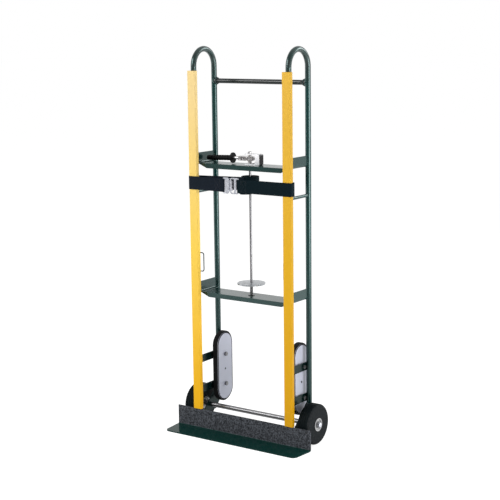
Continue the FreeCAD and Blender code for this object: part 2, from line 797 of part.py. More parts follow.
def lever_grip():
    """Ribbed sleeve with a finger flange, closed at its outer end."""
    tip = -lever_length - grip_end_wall
    flange = tip + grip_length
    outer = grip_od / 2
    rib = outer - grip_rib_depth
    profile = [(-lever_length, 0), (tip, 0), (tip, rib)]
    pitch = (grip_length - 2 * grip_flange_width) / grip_rib_count
    for index in range(grip_rib_count):
        start = tip + grip_flange_width + index * pitch
        profile += [(start, rib), (start, outer), (start + pitch / 2, outer), (start + pitch / 2, rib)]
    profile += [(flange - grip_flange_width, rib), (flange - grip_flange_width, grip_flange_od / 2),
                (flange, grip_flange_od / 2), (flange, lever_bar_od / 2), (-lever_length, lever_bar_od / 2)]
    return drooped(revolve(profile, on_spindle(0, 0, lever_z), X_AXIS, Z_AXIS))


def pawl(pivot_x, pivot_y, tip_angle):
    """Tapered pawl on its pin, with its tip just clear of the ratchet wheel."""
    low = lever_z - pawl_thickness / 2
    reach = ratchet_tip_radius + soft_gap
    pivot = on_spindle(pivot_x, pivot_y, low)
    tip = on_spindle(reach * math.cos(tip_angle), reach * math.sin(tip_angle), low)
    along = (tip - pivot).normalize()
    across = Z_AXIS.cross(along)
    points = [pivot + across * pawl_boss_radius, pivot - across * pawl_boss_radius,
              tip - across * (pawl_tip_width / 2), tip + across * (pawl_tip_width / 2)]
    boss = Part.makeCylinder(pawl_boss_radius, pawl_thickness, pivot)
    body = prism(points, V(0, 0, pawl_thickness)).fuse(boss)
    high = low + pawl_thickness + overrun
    body = body.cut(rod(reach, on_spindle(0, 0, low - overrun), on_spindle(0, 0, high)))
    bore_r = pawl_pin_od / 2 + running_gap
    return body.cut(rod(bore_r, pivot - Z_AXIS * overrun, pivot + Z_AXIS * (overrun + pawl_thickness)))


def pin(x, y, low, high):
    """Plain pin beside the spindle."""
    return rod(pawl_pin_od / 2, on_spindle(x, y, low), on_spindle(x, y, high))


def top_nut():
    """Nut on the spindle's head, above the bracket."""
    low = bracket_top_z + soft_gap
    nut = hexagon(top_nut_width, on_spindle(0, 0, low), V(0, 0, top_nut_height), X_AXIS)
    return nut.cut(rod(spindle_r, on_spindle(0, 0, low - overrun), on_spindle(0, 0, low + 2 * overrun)))


spindle_low_z = lower_shelf_z - shelf_thickness - spindle_tail
plate_low_z = lever_z - lever_bar_od / 2 - lever_plate
plate_high_z = lever_z + lever_bar_od / 2 + lever_plate
foot_top_z = upper_shelf_z + weld_gap + bracket_plate
roof_z = bracket_top_z - bracket_plate
keep("spindle", rod(spindle_r, on_spindle(0, 0, spindle_low_z), on_spindle(0, 0, spindle_top_z)))
keep("spindle_foot_bush", foot_bush())
keep("hand_disc", hand_disc())
keep("ratchet_wheel", ratchet_wheel())
keep("tightener_bracket", tightener_bracket())
keep("bracket_screws", *[bracket_bolt(y) for y in bracket_bolt_ys])
lower_collar = collar(foot_top_z + weld_gap, plate_low_z - soft_gap)
upper_collar = collar(plate_high_z + soft_gap, roof_z - weld_gap)
keep("lever_collars", lower_collar, upper_collar)
keep("lever_arm", lever_arm())
keep("lever_grip", lever_grip())
keep("drive_pawl", pawl(drive_pivot_x, drive_pivot_y, math.pi))
keep("drive_pawl_pin", pin(drive_pivot_x, drive_pivot_y, plate_low_z, plate_high_z))
keep("holding_pawl", pawl(holding_pivot_x, holding_pivot_y, 0))
keep("holding_pawl_pin", pin(holding_pivot_x, holding_pivot_y, foot_top_z, roof_z))
keep("spindle_nut", top_nut())


# Strap and buckle
strap_r = strap_thickness / 2
strap_y = cover_front_y - soft_gap - strap_r
buckle_front_y = strap_y + strap_r + soft_gap
buckle_back_y = buckle_front_y + buckle_plate
tail_y = buckle_back_y + soft_gap + strap_r
sewn_y = strap_y + strap_thickness + strap_tail_gap
wrap_out_x = rail_x + cover_width / 2 + soft_gap + strap_r
wrap_in_x = rail_x - cover_width / 2 - soft_gap - strap_r
wrap_back_y = front_y + tube_r + soft_gap + strap_r
strap_low_z = strap_z - strap_width / 2
front_bend = cover_front_radius + soft_gap + strap_r
roll_step = roll_pitch / 4
run_end_y = spindle_y - roll_outer_r - roll_step - strap_thickness - soft_gap


def band(points, bends):
    """A flat strip on edge: the plan line through the points, with a bend at each corner."""
    stops = [points[0]]
    arcs = []
    for before, corner, after, bend in zip(points, points[1:], points[2:], bends):
        back = (before - corner).normalize()
        ahead = (after - corner).normalize()
        half_turn = math.acos(max(-1, min(1, back.dot(ahead)))) / 2
        reach = bend / math.tan(half_turn)
        centre = corner + (back + ahead).normalize() * (bend / math.sin(half_turn))
        arcs.append((centre, corner + back * reach, corner + ahead * reach))
        stops += [corner + back * reach, corner + ahead * reach]
    stops.append(points[-1])

    def offset(side):
        edges = []
        for index in range(0, len(stops), 2):
            start = stops[index]
            end = stops[index + 1]
            shift = Z_AXIS.cross((end - start).normalize()) * (side * strap_r)
            edges.append(Part.LineSegment(start + shift, end + shift))
        curves = []
        for index, straight in enumerate(edges):
            curves.append(straight.toShape())
            if index < len(arcs):
                centre = arcs[index][0]
                first = straight.EndPoint
                last = edges[index + 1].StartPoint
                middle = ((first + last) * 0.5 - centre).normalize() * (first - centre).Length + centre
                curves.append(Part.Arc(first, middle, last).toShape())
        return curves, edges[0].StartPoint, edges[-1].EndPoint

    near, near_start, near_end = offset(-1)
    far, far_start, far_end = offset(1)
    caps = [Part.LineSegment(near_start, far_start).toShape(), Part.LineSegment(near_end, far_end).toShape()]
    outline = Part.Wire(Part.__sortEdges__(near + far + caps))
    return Part.Face(outline).extrude(V(0, 0, strap_width))


def plan(x, y):
    """A point of the strap's plan line at its lower edge."""
    return V(x, y, strap_low_z)


def strap_anchor_half():
    """Right half: looped round the buckle's bar at one end and round the right rail at the other."""
    turn_x = loop_right_x - buckle_bar - soft_gap - strap_r
    points = [plan(loop_right_x + strap_tail, sewn_y), plan(loop_right_x + strap_tail_rise, sewn_y),
              plan(loop_right_x, tail_y), plan(turn_x, tail_y), plan(turn_x, strap_y),
              plan(wrap_out_x, strap_y), plan(wrap_out_x, wrap_back_y), plan(wrap_in_x, wrap_back_y),
              plan(wrap_in_x, strap_y + strap_thickness + soft_gap)]
    bends = [strap_tail_bend, strap_tail_bend, strap_bend, strap_bend, front_bend, strap_wrap_bend,
             strap_wrap_bend]
    return band(points, bends)


def strap_winding_half():
    """Left half: from the buckle round the left rail, then rising to the roll on the spindle."""
    turn_x = hook_left_x + buckle_bar + soft_gap + strap_r
    corner = plan(-wrap_out_x, wrap_back_y)
    end = plan(0, run_end_y)
    along = (end - corner).normalize()
    start = corner + along * (2 * strap_wrap_bend)
    points = [plan(hook_left_x - strap_tail, sewn_y), plan(hook_left_x - strap_tail_rise, sewn_y),
              plan(hook_left_x, tail_y), plan(turn_x, tail_y), plan(turn_x, strap_y),
              plan(-wrap_out_x, strap_y), corner, start]
    shift = Z_AXIS.cross(along) * strap_r
    lift = V(0, 0, strap_rise)
    tall = V(0, 0, strap_width)
    face = [start - shift, end - shift + lift, end - shift + lift + tall, start - shift + tall]
    bends = [strap_tail_bend, strap_tail_bend, strap_bend, strap_bend, front_bend, strap_wrap_bend]
    flat = band(points, bends)
    return flat.fuse(prism(face, shift * 2)).removeSplitter()


def roll_line():
    """Half turns of the roll's middle line from outside to inside: (centre, radius, turns to the right)."""
    turns = []
    radius = roll_outer_r
    for half in range(2 * roll_turns):
        to_right = half % 2 == 0
        step = -roll_step if to_right else roll_step
        turns.append((on_spindle(0, step, roll_z - strap_width / 2), radius, to_right))
        radius -= 2 * roll_step
    return turns


def strap_roll():
    """The wound strap: one flat strip of half turns, each drawn from one of two centres."""
    def side(offset):
        curves = []
        for centre, radius, to_right in roll_line():
            r = radius + offset
            sign = 1 if to_right else -1
            start = centre + V(0, -sign * r, 0)
            middle = centre + V(sign * r, 0, 0)
            end = centre + V(0, sign * r, 0)
            curves.append((start, end, Part.Arc(start, middle, end).toShape()))
        return curves

    outer = side(strap_r)
    inner = side(-strap_r)
    first_cap = Part.LineSegment(outer[0][0], inner[0][0]).toShape()
    last_cap = Part.LineSegment(outer[-1][1], inner[-1][1]).toShape()
    edges = [curve[2] for curve in outer + inner] + [first_cap, last_cap]
    face = Part.Face(Part.Wire(Part.__sortEdges__(edges)))
    return face.extrude(V(0, 0, strap_width))


def roll_self_gap():
    """Least gap between neighbouring turns, measured on points of the middle line."""
    points = []
    for centre, radius, to_right in roll_line():
        for step in range(roll_samples_per_half_turn):
            angle = math.pi * step / roll_samples_per_half_turn - math.pi / 2
            angle = angle if to_right else angle + math.pi
            points.append(centre + V(radius * math.cos(angle), radius * math.sin(angle), 0))
    least = roll_outer_r
    for index, point in enumerate(points):
        for other in points[index + roll_samples_per_half_turn:]:
            least = min(least, (point - other).Length)
    return least - strap_thickness


def buckle_frame(x0, x1, y1, slots):
    """Flat frame with round corners and upright slots."""
    half = buckle_height / 2
    plate = box(x0, x1, buckle_front_y, y1, strap_z - half, strap_z + half)
    corners = [e for e in plate.Edges if abs(e.Length - (y1 - buckle_front_y)) < weld_gap]
    plate = plate.makeFillet(buckle_corner_radius, corners)
    slot_half = half - buckle_bar
    low = strap_z - slot_half
    high = strap_z + slot_half
    for left, right in slots:
        plate = plate.cut(box(left, right, buckle_front_y - overrun, y1 + overrun, low, high))
    return plate


def buckle_hook():
    """Left buckle half: strap slot, wide plate and a hook behind the loop's bar."""
    slot = (hook_left_x + buckle_bar, hook_right_x - hook_plate_width)
    plate = buckle_frame(hook_left_x, hook_right_x, buckle_back_y, [slot])
    half = strap_width / 2 - buckle_bar
    low = strap_z - half
    high = strap_z + half
    tip_x = loop_left_x + buckle_bar + soft_gap
    lip_y = buckle_back_y + hook_lip
    lip = box(hook_right_x - hook_plate_width / 2, tip_x + hook_lip, buckle_back_y, lip_y, low, high)
    tip = box(tip_x, tip_x + hook_lip, buckle_front_y + soft_gap, lip_y, low, high)
    return plate.fuse([lip, tip]).removeSplitter()


def buckle_loop():
    """Right buckle half: frame with a middle bar."""
    middle = loop_middle_width / 2
    slots = [(loop_left_x + buckle_bar, loop_middle_x - middle),
             (loop_middle_x + middle, loop_right_x - buckle_bar)]
    return buckle_frame(loop_left_x, loop_right_x, buckle_back_y - soft_gap, slots)


keep("strap_anchor_half", strap_anchor_half())
keep("strap_winding_half", strap_winding_half())
keep("strap_roll", strap_roll())
keep("buckle_hook", buckle_hook())
keep("buckle_loop", buckle_loop())
print("strap roll: least gap to itself", round(roll_self_gap(), 3), "mm")

os.makedirs("parts", exist_ok=True)
for name, shape in nodes.items():
    placed = shape.copy()
    placed.translate(V(0, -origin_y, 0))
    placed.exportStep("parts/" + name + ".step")
    print(name, len(placed.Solids), placed.isValid(), round(placed.Volume))
print("nodes", len(nodes), "origin moved by", round(-origin_y, 3))
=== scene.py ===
"""Looks of the appliance hand truck: paint, rubber, zinc, webbing, welds, stitches and small trim."""
import json
import math

import bmesh
import bpy
from mathutils import Matrix, Vector


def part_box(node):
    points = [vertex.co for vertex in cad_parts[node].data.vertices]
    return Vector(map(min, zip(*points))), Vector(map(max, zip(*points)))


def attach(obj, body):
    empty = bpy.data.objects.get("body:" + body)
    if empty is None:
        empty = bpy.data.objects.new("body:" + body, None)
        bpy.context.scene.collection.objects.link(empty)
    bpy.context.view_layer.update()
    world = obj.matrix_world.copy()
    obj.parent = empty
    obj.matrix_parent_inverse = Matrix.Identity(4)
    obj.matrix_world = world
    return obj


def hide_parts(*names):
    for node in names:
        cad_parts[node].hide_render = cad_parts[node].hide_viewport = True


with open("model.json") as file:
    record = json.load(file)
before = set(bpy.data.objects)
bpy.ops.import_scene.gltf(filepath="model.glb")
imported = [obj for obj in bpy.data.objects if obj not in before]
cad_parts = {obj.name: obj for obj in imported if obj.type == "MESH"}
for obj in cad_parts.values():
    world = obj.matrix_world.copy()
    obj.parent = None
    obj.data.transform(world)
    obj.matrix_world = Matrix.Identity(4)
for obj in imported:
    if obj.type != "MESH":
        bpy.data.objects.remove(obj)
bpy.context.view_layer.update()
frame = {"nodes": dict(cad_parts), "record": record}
nodes = frame["nodes"]

# Sizes of the truck, in metres
MM = 0.001
FRONT_FACE_Y = -41.25 * MM
RAIL_X = 219.0 * MM
TUBE_R = 11.1 * MM
FRONT_RAIL_Y = FRONT_FACE_Y + 15.9 * MM
REAR_RAIL_Y = FRONT_RAIL_Y + 132.0 * MM
CROSSBAR_Z = 1387.0 * MM
crossbar_low, crossbar_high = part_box("top_crossbar")
CROSSBAR_R = (crossbar_high[2] - crossbar_low[2]) / 2
SHELF_TOPS = (1073.0 * MM, 560.0 * MM)
SHELF_END_HEIGHT = 40.0 * MM
RUNG_Z = 961.0 * MM
RUNG_R = 6.35 * MM
KEEPER_Z = 682.0 * MM
KEEPER_HALF = 37.0 * MM
KEEPER_SETBACK = 3.5 * MM
AXLE_Y = FRONT_FACE_Y + 91.0 * MM
AXLE_Z = 79.5 * MM
AXLE_R = 6.35 * MM
BAR_ZS = (164.0 * MM, 288.0 * MM)
BAR_HEIGHT = 31.0 * MM
SPINDLE_Y = FRONT_FACE_Y + 75.0 * MM

# Webbing, in metres
STRAP_WIDTH = 51.8 * MM
STRAP_THICKNESS = 1.8 * MM
SELVEDGE = 2.2 * MM
STRAP_Z = 997.0 * MM
STRAP_RISE = 6.0 * MM
STRAP_LIFT = 1.0 * MM
LIFT_LENGTH = 40.0 * MM
STRAP_Y = FRONT_FACE_Y - 3.8 * MM
SEWN_Y = STRAP_Y + STRAP_THICKNESS * 1.03
STRAP_TAIL_Y = FRONT_FACE_Y + 1.6 * MM
STRAP_WRAP_OUT_X = 238.95 * MM
STRAP_WRAP_IN_X = 199.05 * MM
STRAP_WRAP_BACK_Y = FRONT_FACE_Y + 28.2 * MM
STRAP_WRAP_END_Y = STRAP_Y + 2.1 * MM
STRAP_RUN_END_Y = FRONT_FACE_Y + 37.55 * MM
WRAP_MARGIN = 1.0 * MM
BUCKLE_BEND = 1.7 * MM
FRONT_BEND = 4.7 * MM
WRAP_BEND = 12.0 * MM
TAIL_BEND = 6.0 * MM
LOOP_TURN_X = -6.2 * MM
HOOK_TURN_X = -68.8 * MM
HOOK_TAIL_X = -75.0 * MM
TAIL_SLANT_START = 1.0 * MM
TAIL_SLANT_END = 9.0 * MM
TAIL_LENGTH = 38.0 * MM
ANCHOR_TAIL_LENGTH = 58.0 * MM
ANCHOR_TAIL_SAG = 4.5 * MM
SAG_EASES_FROM = 20.0 * MM
SAG_EASE = 0.75
ROLL_OUTER_R = 34.75 * MM
ROLL_STEP = 0.6 * MM
ROLL_TURNS = 12
BEND_STEP = math.radians(12)

# Welds and stitches, in metres
CROSSBAR_WELD_DEPTH = 10.6 * MM
CROSSBAR_WELD_HEIGHT = 12.2 * MM
CROSSBAR_FLARE = 5.0 * MM
RUNG_WELD_R = RUNG_R + 0.6 * MM
KEEPER_WELD_R = 2.1 * MM
SEAM_LIFT = 0.1 * MM
SHELF_SEAM_X = 2.1 * MM
SHELF_SEAM_START = 4.0 * MM
BAR_SEAM_X = RAIL_X - TUBE_R + 0.4 * MM
BAR_SEAM_Y = 3.6 * MM
GUSSET_SEAM_X = 3.1 * MM
GUSSET_FRONT_SEAM = (19.0 * MM, 50.0 * MM)
GUSSET_REAR_SEAM = (128.0 * MM, 151.0 * MM)
TUBE_BEAD = (4.6 * MM, 8.0 * MM, 8.0 * MM)
BAR_BEAD = (2.6 * MM, 3.2 * MM, 3.2 * MM)
WIRE_BEAD = (1.5 * MM, 1.9 * MM, 1.9 * MM)
STITCH = (2.9 * MM, 0.7 * MM, 0.7 * MM)
TUBE_BEAD_STEP = 1.8 * MM
BAR_BEAD_STEP = 1.4 * MM
WIRE_BEAD_STEP = 0.9 * MM
STITCH_STEP = 3.4 * MM
STITCH_OUT = STRAP_THICKNESS * 0.46
STITCH_INSET = 5.0 * MM
STITCH_BOX = (12.0 * MM, 35.0 * MM)

# Trim of the axle, the climbers and the ratchet, in metres
SLEEVE_R = 9.5 * MM
SLEEVE_BORE_R = 8.6 * MM
SLEEVE_PRESS = 0.05 * MM
SLEEVE_END_GAP = 0.3 * MM
EDGING_WIDTH = 3.4 * MM
EDGING_HEIGHT = 0.8 * MM
EDGING_LAP = 0.3 * MM
EDGING_ROOT = 0.2 * MM
# Black discs that stand in for the shade in the cheeks' middle holes
HOLE_SHADE_R = 4.55 * MM
HOLE_SHADE_TIP_R = 0.9 * HOLE_SHADE_R
HOLE_SHADE_Z = 226.0 * MM
HOLE_SHADE_DEPTHS = (2.6 * MM, 0.7 * MM, 0.4 * MM)
CHEEK_SIDES = (("inner_cheek_left", 1), ("inner_cheek_right", -1),
               ("outer_cheek_left", -1), ("outer_cheek_right", 1))
FACE_LEFT_X = 33.0 * MM
FACE_GAP = 0.3 * MM
FACE_THICKNESS = 1.5 * MM
FACE_BEVEL = 0.4 * MM
FACE_DRAWN_IN = 0.97
FACE_OUTER_BEND = 7.0 * MM
FACE_INNER_BEND = 3.0 * MM
SEAT_X = (3.6 * MM, 0.4 * MM)
SEAT_MARGIN_Z = 8.0 * MM
SEAT_ROOT = 0.2 * MM
SEAT_LAP = 0.5 * MM
SHARP_ANGLE = math.radians(35)


# Shader node groups
def shader_group(name, inputs, outputs):
    """An empty shader group with its named sockets."""
    tree = bpy.data.node_groups.new(name, "ShaderNodeTree")
    for label, kind, value in inputs:
        socket = tree.interface.new_socket(label, in_out="INPUT", socket_type=kind)
        socket.default_value = value
    for label, kind in outputs:
        tree.interface.new_socket(label, in_out="OUTPUT", socket_type=kind)
    return tree, tree.nodes.new("NodeGroupInput"), tree.nodes.new("NodeGroupOutput")


def math_node(tree, operation, first, second=None, clamp=False):
    """One calculation on values or sockets."""
    node = tree.nodes.new("ShaderNodeMath")
    node.operation = operation
    node.use_clamp = clamp
    for index, value in enumerate((first, second)):
        if value is None:
            continue
        if isinstance(value, (int, float)):
            node.inputs[index].default_value = value
        else:
            tree.links.new(value, node.inputs[index])
    return node.outputs[0]


def times(tree, first, second, clamp=False):
    """The product of two values or sockets."""
    return math_node(tree, "MULTIPLY", first, second, clamp)


def remap(tree, value, low, high, to_low=0.0, to_high=1.0):
    """A value stretched from one range to another, and clamped."""
    node = tree.nodes.new("ShaderNodeMapRange")
    tree.links.new(value, node.inputs["Value"])
    node.inputs["From Min"].default_value = low
    node.inputs["From Max"].default_value = high
    node.inputs["To Min"].default_value = to_low
    node.inputs["To Max"].default_value = to_high
    return node.outputs["Result"]


def mix_colour(tree, factor, first, second, blend="MIX"):
    """Two colours mixed by a mask."""
    node = tree.nodes.new("ShaderNodeMix")
    node.data_type = "RGBA"
    node.blend_type = blend
    for socket, value in ((node.inputs[0], factor), (node.inputs[6], first), (node.inputs[7], second)):
        if isinstance(value, (int, float, tuple)):
            socket.default_value = value
        else:
            tree.links.new(value, socket)
    return node.outputs[2]


def object_place(tree):
    """Object coordinates, which are the truck's own metres."""
    return tree.nodes.new("ShaderNodeTexCoord").outputs["Object"]


def split_axes(tree, vector):
    """The X, Y and Z of a vector."""
    node = tree.nodes.new("ShaderNodeSeparateXYZ")
    tree.links.new(vector, node.inputs[0])
    return node.outputs


def facing_axes(tree):
    """The way that a face looks, without its bump."""
    return split_axes(tree, tree.nodes.new("ShaderNodeNewGeometry").outputs["True Normal"])


def noise(tree, place, scale, detail=3.0, roughness=0.5):
    """Soft cloudy noise, at a scale in cells per metre."""
    node = tree.nodes.new("ShaderNodeTexNoise")
    tree.links.new(place, node.inputs["Vector"])
    if isinstance(scale, (int, float)):
        node.inputs["Scale"].default_value = scale
    else:
        tree.links.new(scale, node.inputs["Scale"])
    node.inputs["Detail"].default_value = detail
    node.inputs["Roughness"].default_value = roughness
    return node.outputs["Fac"]


def make_mottle_group():
    """Cloudy change of tone, with a finer grain for the surface height."""
    tree, start, end = shader_group(
        "mottle",
        [("Colour", "NodeSocketColor", (0.5, 0.5, 0.5, 1.0)),
         ("Dark", "NodeSocketColor", (0.1, 0.1, 0.1, 1.0)),
         ("Cloud Scale", "NodeSocketFloat", 9.0), ("Grain Scale", "NodeSocketFloat", 600.0),
         ("Amount", "NodeSocketFloat", 0.3)],
        [("Colour", "NodeSocketColor"), ("Cloud", "NodeSocketFloat"), ("Grain", "NodeSocketFloat")])
    place = object_place(tree)
    cloud = noise(tree, place, start.outputs["Cloud Scale"], 5.0, 0.6)
    grain = noise(tree, place, start.outputs["Grain Scale"], 2.0)
    patch = remap(tree, cloud, 0.35, 0.75)
    share = times(tree, patch, start.outputs["Amount"], True)
    colour = mix_colour(tree, share, start.outputs["Colour"], start.outputs["Dark"])
    tree.links.new(colour, end.inputs["Colour"])
    tree.links.new(cloud, end.inputs["Cloud"])
    tree.links.new(grain, end.inputs["Grain"])
    return tree


def make_dust_group():
    """Mask of pale dust that settles in patches on faces that look up."""
    tree, start, end = shader_group(
        "dust", [("Amount", "NodeSocketFloat", 0.2), ("Patch Scale", "NodeSocketFloat", 60.0)],
        [("Mask", "NodeSocketFloat")])
    normal = tree.nodes.new("ShaderNodeNewGeometry").outputs["Normal"]
    upward = remap(tree, split_axes(tree, normal)["Z"], 0.55, 0.98)
    patch = remap(tree, noise(tree, object_place(tree), start.outputs["Patch Scale"], 4.0), 0.4, 0.7)
    settled = times(tree, upward, patch)
    mask = times(tree, settled, start.outputs["Amount"], True)
    tree.links.new(mask, end.inputs["Mask"])
    return tree


def make_scuff_group():
    """Mask of thin scratches."""
    tree, start, end = shader_group(
        "scuffs", [("Scale", "NodeSocketFloat", 30.0), ("Stretch", "NodeSocketVector", (1.0, 1.0, 0.1)),
                   ("Amount", "NodeSocketFloat", 0.5)],
        [("Mask", "NodeSocketFloat")])
    mapping = tree.nodes.new("ShaderNodeMapping")
    tree.links.new(object_place(tree), mapping.inputs["Vector"])
    tree.links.new(start.outputs["Stretch"], mapping.inputs["Scale"])
    streaks = noise(tree, mapping.outputs["Vector"], start.outputs["Scale"], 6.0, 0.65)
    thin = remap(tree, streaks, 0.60, 0.70)
    mask = times(tree, thin, start.outputs["Amount"], True)
    tree.links.new(mask, end.inputs["Mask"])
    return tree


def make_weave_group():
    """Woven webbing: ribs of yarn along the strap and picks across them, from the strap's own UV map."""
    tree, start, end = shader_group(
        "webbing_weave",
        [("Rib Pitch", "NodeSocketFloat", 0.0021), ("Pick Pitch", "NodeSocketFloat", 0.0016)],
        [("Height", "NodeSocketFloat"), ("Yarn", "NodeSocketFloat")])
    uv = tree.nodes.new("ShaderNodeUVMap")
    uv.uv_map = "strap"
    place = split_axes(tree, uv.outputs["UV"])
    along = math_node(tree, "DIVIDE", place["X"], start.outputs["Pick Pitch"])
    across = math_node(tree, "DIVIDE", place["Y"], start.outputs["Rib Pitch"])
    rib = math_node(tree, "FLOOR", across)
    odd = math_node(tree, "MODULO", rib, 2.0)
    shifted = math_node(tree, "ADD", along, times(tree, odd, 0.5))
    pick = math_node(tree, "SINE", times(tree, shifted, math.tau))
    pick = remap(tree, pick, -1.0, 1.0, 0.35, 1.0)
    wale = math_node(tree, "FRACT", across)
    crown = math_node(tree, "SINE", times(tree, wale, math.pi))
    height = times(tree, pick, crown)
    tree.links.new(height, end.inputs["Height"])
    tree.links.new(noise(tree, uv.outputs["UV"], 900.0, 2.0), end.inputs["Yarn"])
    return tree


MOTTLE = make_mottle_group()
DUST = make_dust_group()
SCUFFS = make_scuff_group()
WEAVE = make_weave_group()


# Materials
DUST_COLOUR = (0.32, 0.33, 0.32, 1.0)
HANDLE_WEAR_Z = (1.36, 1.46)
LOW_SHADE_Z = (0.25, 0.95)
TOE_WALL_Z = (0.0056, 0.0068)
# Heights over which painted light pales the covers towards the top
COVER_LOWER_Z = (0.15, 0.75)
COVER_UPPER_Z = (0.75, 1.35)
TYRE_RING_PITCH = 0.0085
TYRE_RINGS_END_R = (0.0635, 0.0655)


def rgba(colour):
    """A colour with its alpha."""
    return (*colour, 1.0)


def blank_material(name, colour, roughness, metallic=0.0, **sockets):
    """A Principled material with its plain values set on the shader's own sockets."""
    material = bpy.data.materials.new(name)
    material.use_nodes = True
    tree = material.node_tree
    shader = tree.nodes["Principled BSDF"]
    shader.inputs["Base Color"].default_value = rgba(colour)
    shader.inputs["Roughness"].default_value = roughness
    shader.inputs["Metallic"].default_value = metallic
    for label, value in sockets.items():
        shader.inputs[label.replace("_", " ")].default_value = value
    return material, tree, shader


def place_group(tree, group, **values):
    """A group in a material, with its own values."""
    node = tree.nodes.new("ShaderNodeGroup")
    node.node_tree = group
    for label, value in values.items():
        node.inputs[label.replace("_", " ")].default_value = value
    return node


def add_bump(tree, shader, height, strength, distance):
    """A bump from a height, into the shader's normal."""
    bump = tree.nodes.new("ShaderNodeBump")
    bump.inputs["Strength"].default_value = strength
    bump.inputs["Distance"].default_value = distance
    tree.links.new(height, bump.inputs["Height"])
    tree.links.new(bump.outputs["Normal"], shader.inputs["Normal"])


def vary_roughness(tree, shader, tone, low, high, wear_and_shade=None, added=0.0):
    """Roughness that follows the clouds of the tone, and rises where a mask shows dust or wear."""
    rough = remap(tree, tone.outputs["Cloud"], 0.3, 0.7, low, high)
    if wear_and_shade is not None:
        rough = math_node(tree, "ADD", rough, times(tree, wear_and_shade.outputs["Mask"], added), True)
    tree.links.new(rough, shader.inputs["Roughness"])


def painted(name, colour, dark, roughness, amount=0.5, peel=0.25, dust=0.22, **sockets):
    """Sprayed paint: cloudy tone, orange peel, and a little dust on top."""
    material, tree, shader = blank_material(name, colour, roughness, **sockets)
    tone = place_group(tree, MOTTLE, Colour=rgba(colour), Dark=rgba(dark), Cloud_Scale=7.0, Grain_Scale=420.0,
                       Amount=amount)
    settled = place_group(tree, DUST, Amount=dust, Patch_Scale=45.0)
    top = mix_colour(tree, settled.outputs["Mask"], tone.outputs["Colour"], DUST_COLOUR)
    tree.links.new(top, shader.inputs["Base Color"])
    vary_roughness(tree, shader, tone, roughness * 0.8, roughness * 1.25, settled, 0.5)
    add_bump(tree, shader, tone.outputs["Grain"], peel, 0.0004)
    return material, tree, shader


def enamel(name, colour, dark, roughness, dust=0.03, **sockets):
    """Smooth sprayed enamel."""
    return painted(name, colour, dark, roughness, 0.4, peel=0.03, dust=dust, **sockets)


def make_frame_paint():
    """Dark green gloss enamel, darkened low down by painted shade, that hands have greyed on the handle
    loops.
    """
    material, tree, shader = enamel("frame_paint", (0.0006, 0.026, 0.024), (0.0004, 0.018, 0.016), 0.2,
                                    Specular_IOR_Level=0.65, Specular_Tint=(0.72, 1.0, 0.98, 1.0))
    green = shader.inputs["Base Color"].links[0].from_socket
    place = split_axes(tree, object_place(tree))
    # Painted shade: the green darkens towards the bottom of the frame.
    painted_low_shade = remap(tree, place["Z"], *LOW_SHADE_Z, 0.85, 0.0)
    green = mix_colour(tree, painted_low_shade, green, (0.0003, 0.009, 0.0085, 1.0))
    handled = remap(tree, place["Z"], *HANDLE_WEAR_Z)
    patches = remap(tree, noise(tree, object_place(tree), 55.0, 4.0), 0.3, 0.6, 0.35, 0.9)
    greyed = times(tree, handled, patches)
    wear_and_shade = mix_colour(tree, greyed, green, (0.022, 0.025, 0.024, 1.0))
    tree.links.new(wear_and_shade, shader.inputs["Base Color"])
    return material


def make_toe_paint():
    """Green lip, and a coarse dark grey coat on the wall's front face and top edge."""
    material, tree, shader = painted("toe_coat", (0.0003, 0.026, 0.022), (0.0002, 0.019, 0.016), 0.14, 0.4,
                                     peel=0.06, dust=0.02, Specular_IOR_Level=0.1)
    green = shader.inputs["Base Color"].links[0].from_socket
    smooth = shader.inputs["Roughness"].links[0].from_socket
    spots = noise(tree, object_place(tree), 185.0, 3.0, 0.7)
    speckle = remap(tree, spots, 0.38, 0.64)
    grit = mix_colour(tree, speckle, (0.010, 0.012, 0.014, 1.0), (0.094, 0.101, 0.116, 1.0))
    place = split_axes(tree, object_place(tree))
    on_wall = remap(tree, place["Z"], *TOE_WALL_Z)
    not_back = remap(tree, facing_axes(tree)["Y"], 0.3, 0.5, 1.0, 0.0)
    coat = times(tree, on_wall, not_back)
    tree.links.new(mix_colour(tree, coat, green, grit), shader.inputs["Base Color"])
    rough = math_node(tree, "ADD", smooth, times(tree, coat, 0.55), True)
    tree.links.new(rough, shader.inputs["Roughness"])
    height = times(tree, spots, coat)
    add_bump(tree, shader, height, 0.6, 0.0012)
    return material


def make_cover_plastic(name, low_colour, middle_colour, top_colour, side_shade=None):
    """Yellow moulded guard, with painted light that pales it towards the top, faint scuffs, and painted shade
    on its right if asked.
    """
    material, tree, shader = blank_material(name, low_colour, 0.42, Specular_IOR_Level=0.15)
    place = split_axes(tree, object_place(tree))
    deep = tuple(channel * 0.88 for channel in low_colour)
    low_tone = place_group(tree, MOTTLE, Colour=rgba(low_colour), Dark=rgba(deep), Cloud_Scale=5.0,
                           Grain_Scale=900.0, Amount=0.45)
    # Painted light: the yellow pales from the low colour through the middle one to the top colour as the
    # guard rises.
    lower_half = remap(tree, place["Z"], *COVER_LOWER_Z)
    upper_half = remap(tree, place["Z"], *COVER_UPPER_Z)
    painted_top_light = mix_colour(tree, lower_half, low_tone.outputs["Colour"], rgba(middle_colour))
    painted_top_light = mix_colour(tree, upper_half, painted_top_light, rgba(top_colour))
    marks = place_group(tree, SCUFFS, Scale=26.0, Stretch=(1.0, 1.0, 0.16), Amount=0.16)
    pale = tuple(min(1.0, channel * 1.1 + 0.04) for channel in top_colour)
    wear_and_shade = mix_colour(tree, marks.outputs["Mask"], painted_top_light, rgba(pale))
    if side_shade:
        # Painted shade on the faces that look right.
        right_shade_mask = remap(tree, facing_axes(tree)["X"], 0.4, 0.8)
        wear_and_shade = mix_colour(tree, right_shade_mask, wear_and_shade, rgba(side_shade), "MULTIPLY")
    tree.links.new(wear_and_shade, shader.inputs["Base Color"])
    vary_roughness(tree, shader, low_tone, 0.36, 0.5, marks, 0.4)
    add_bump(tree, shader, low_tone.outputs["Grain"], 0.18, 0.0003)
    return material


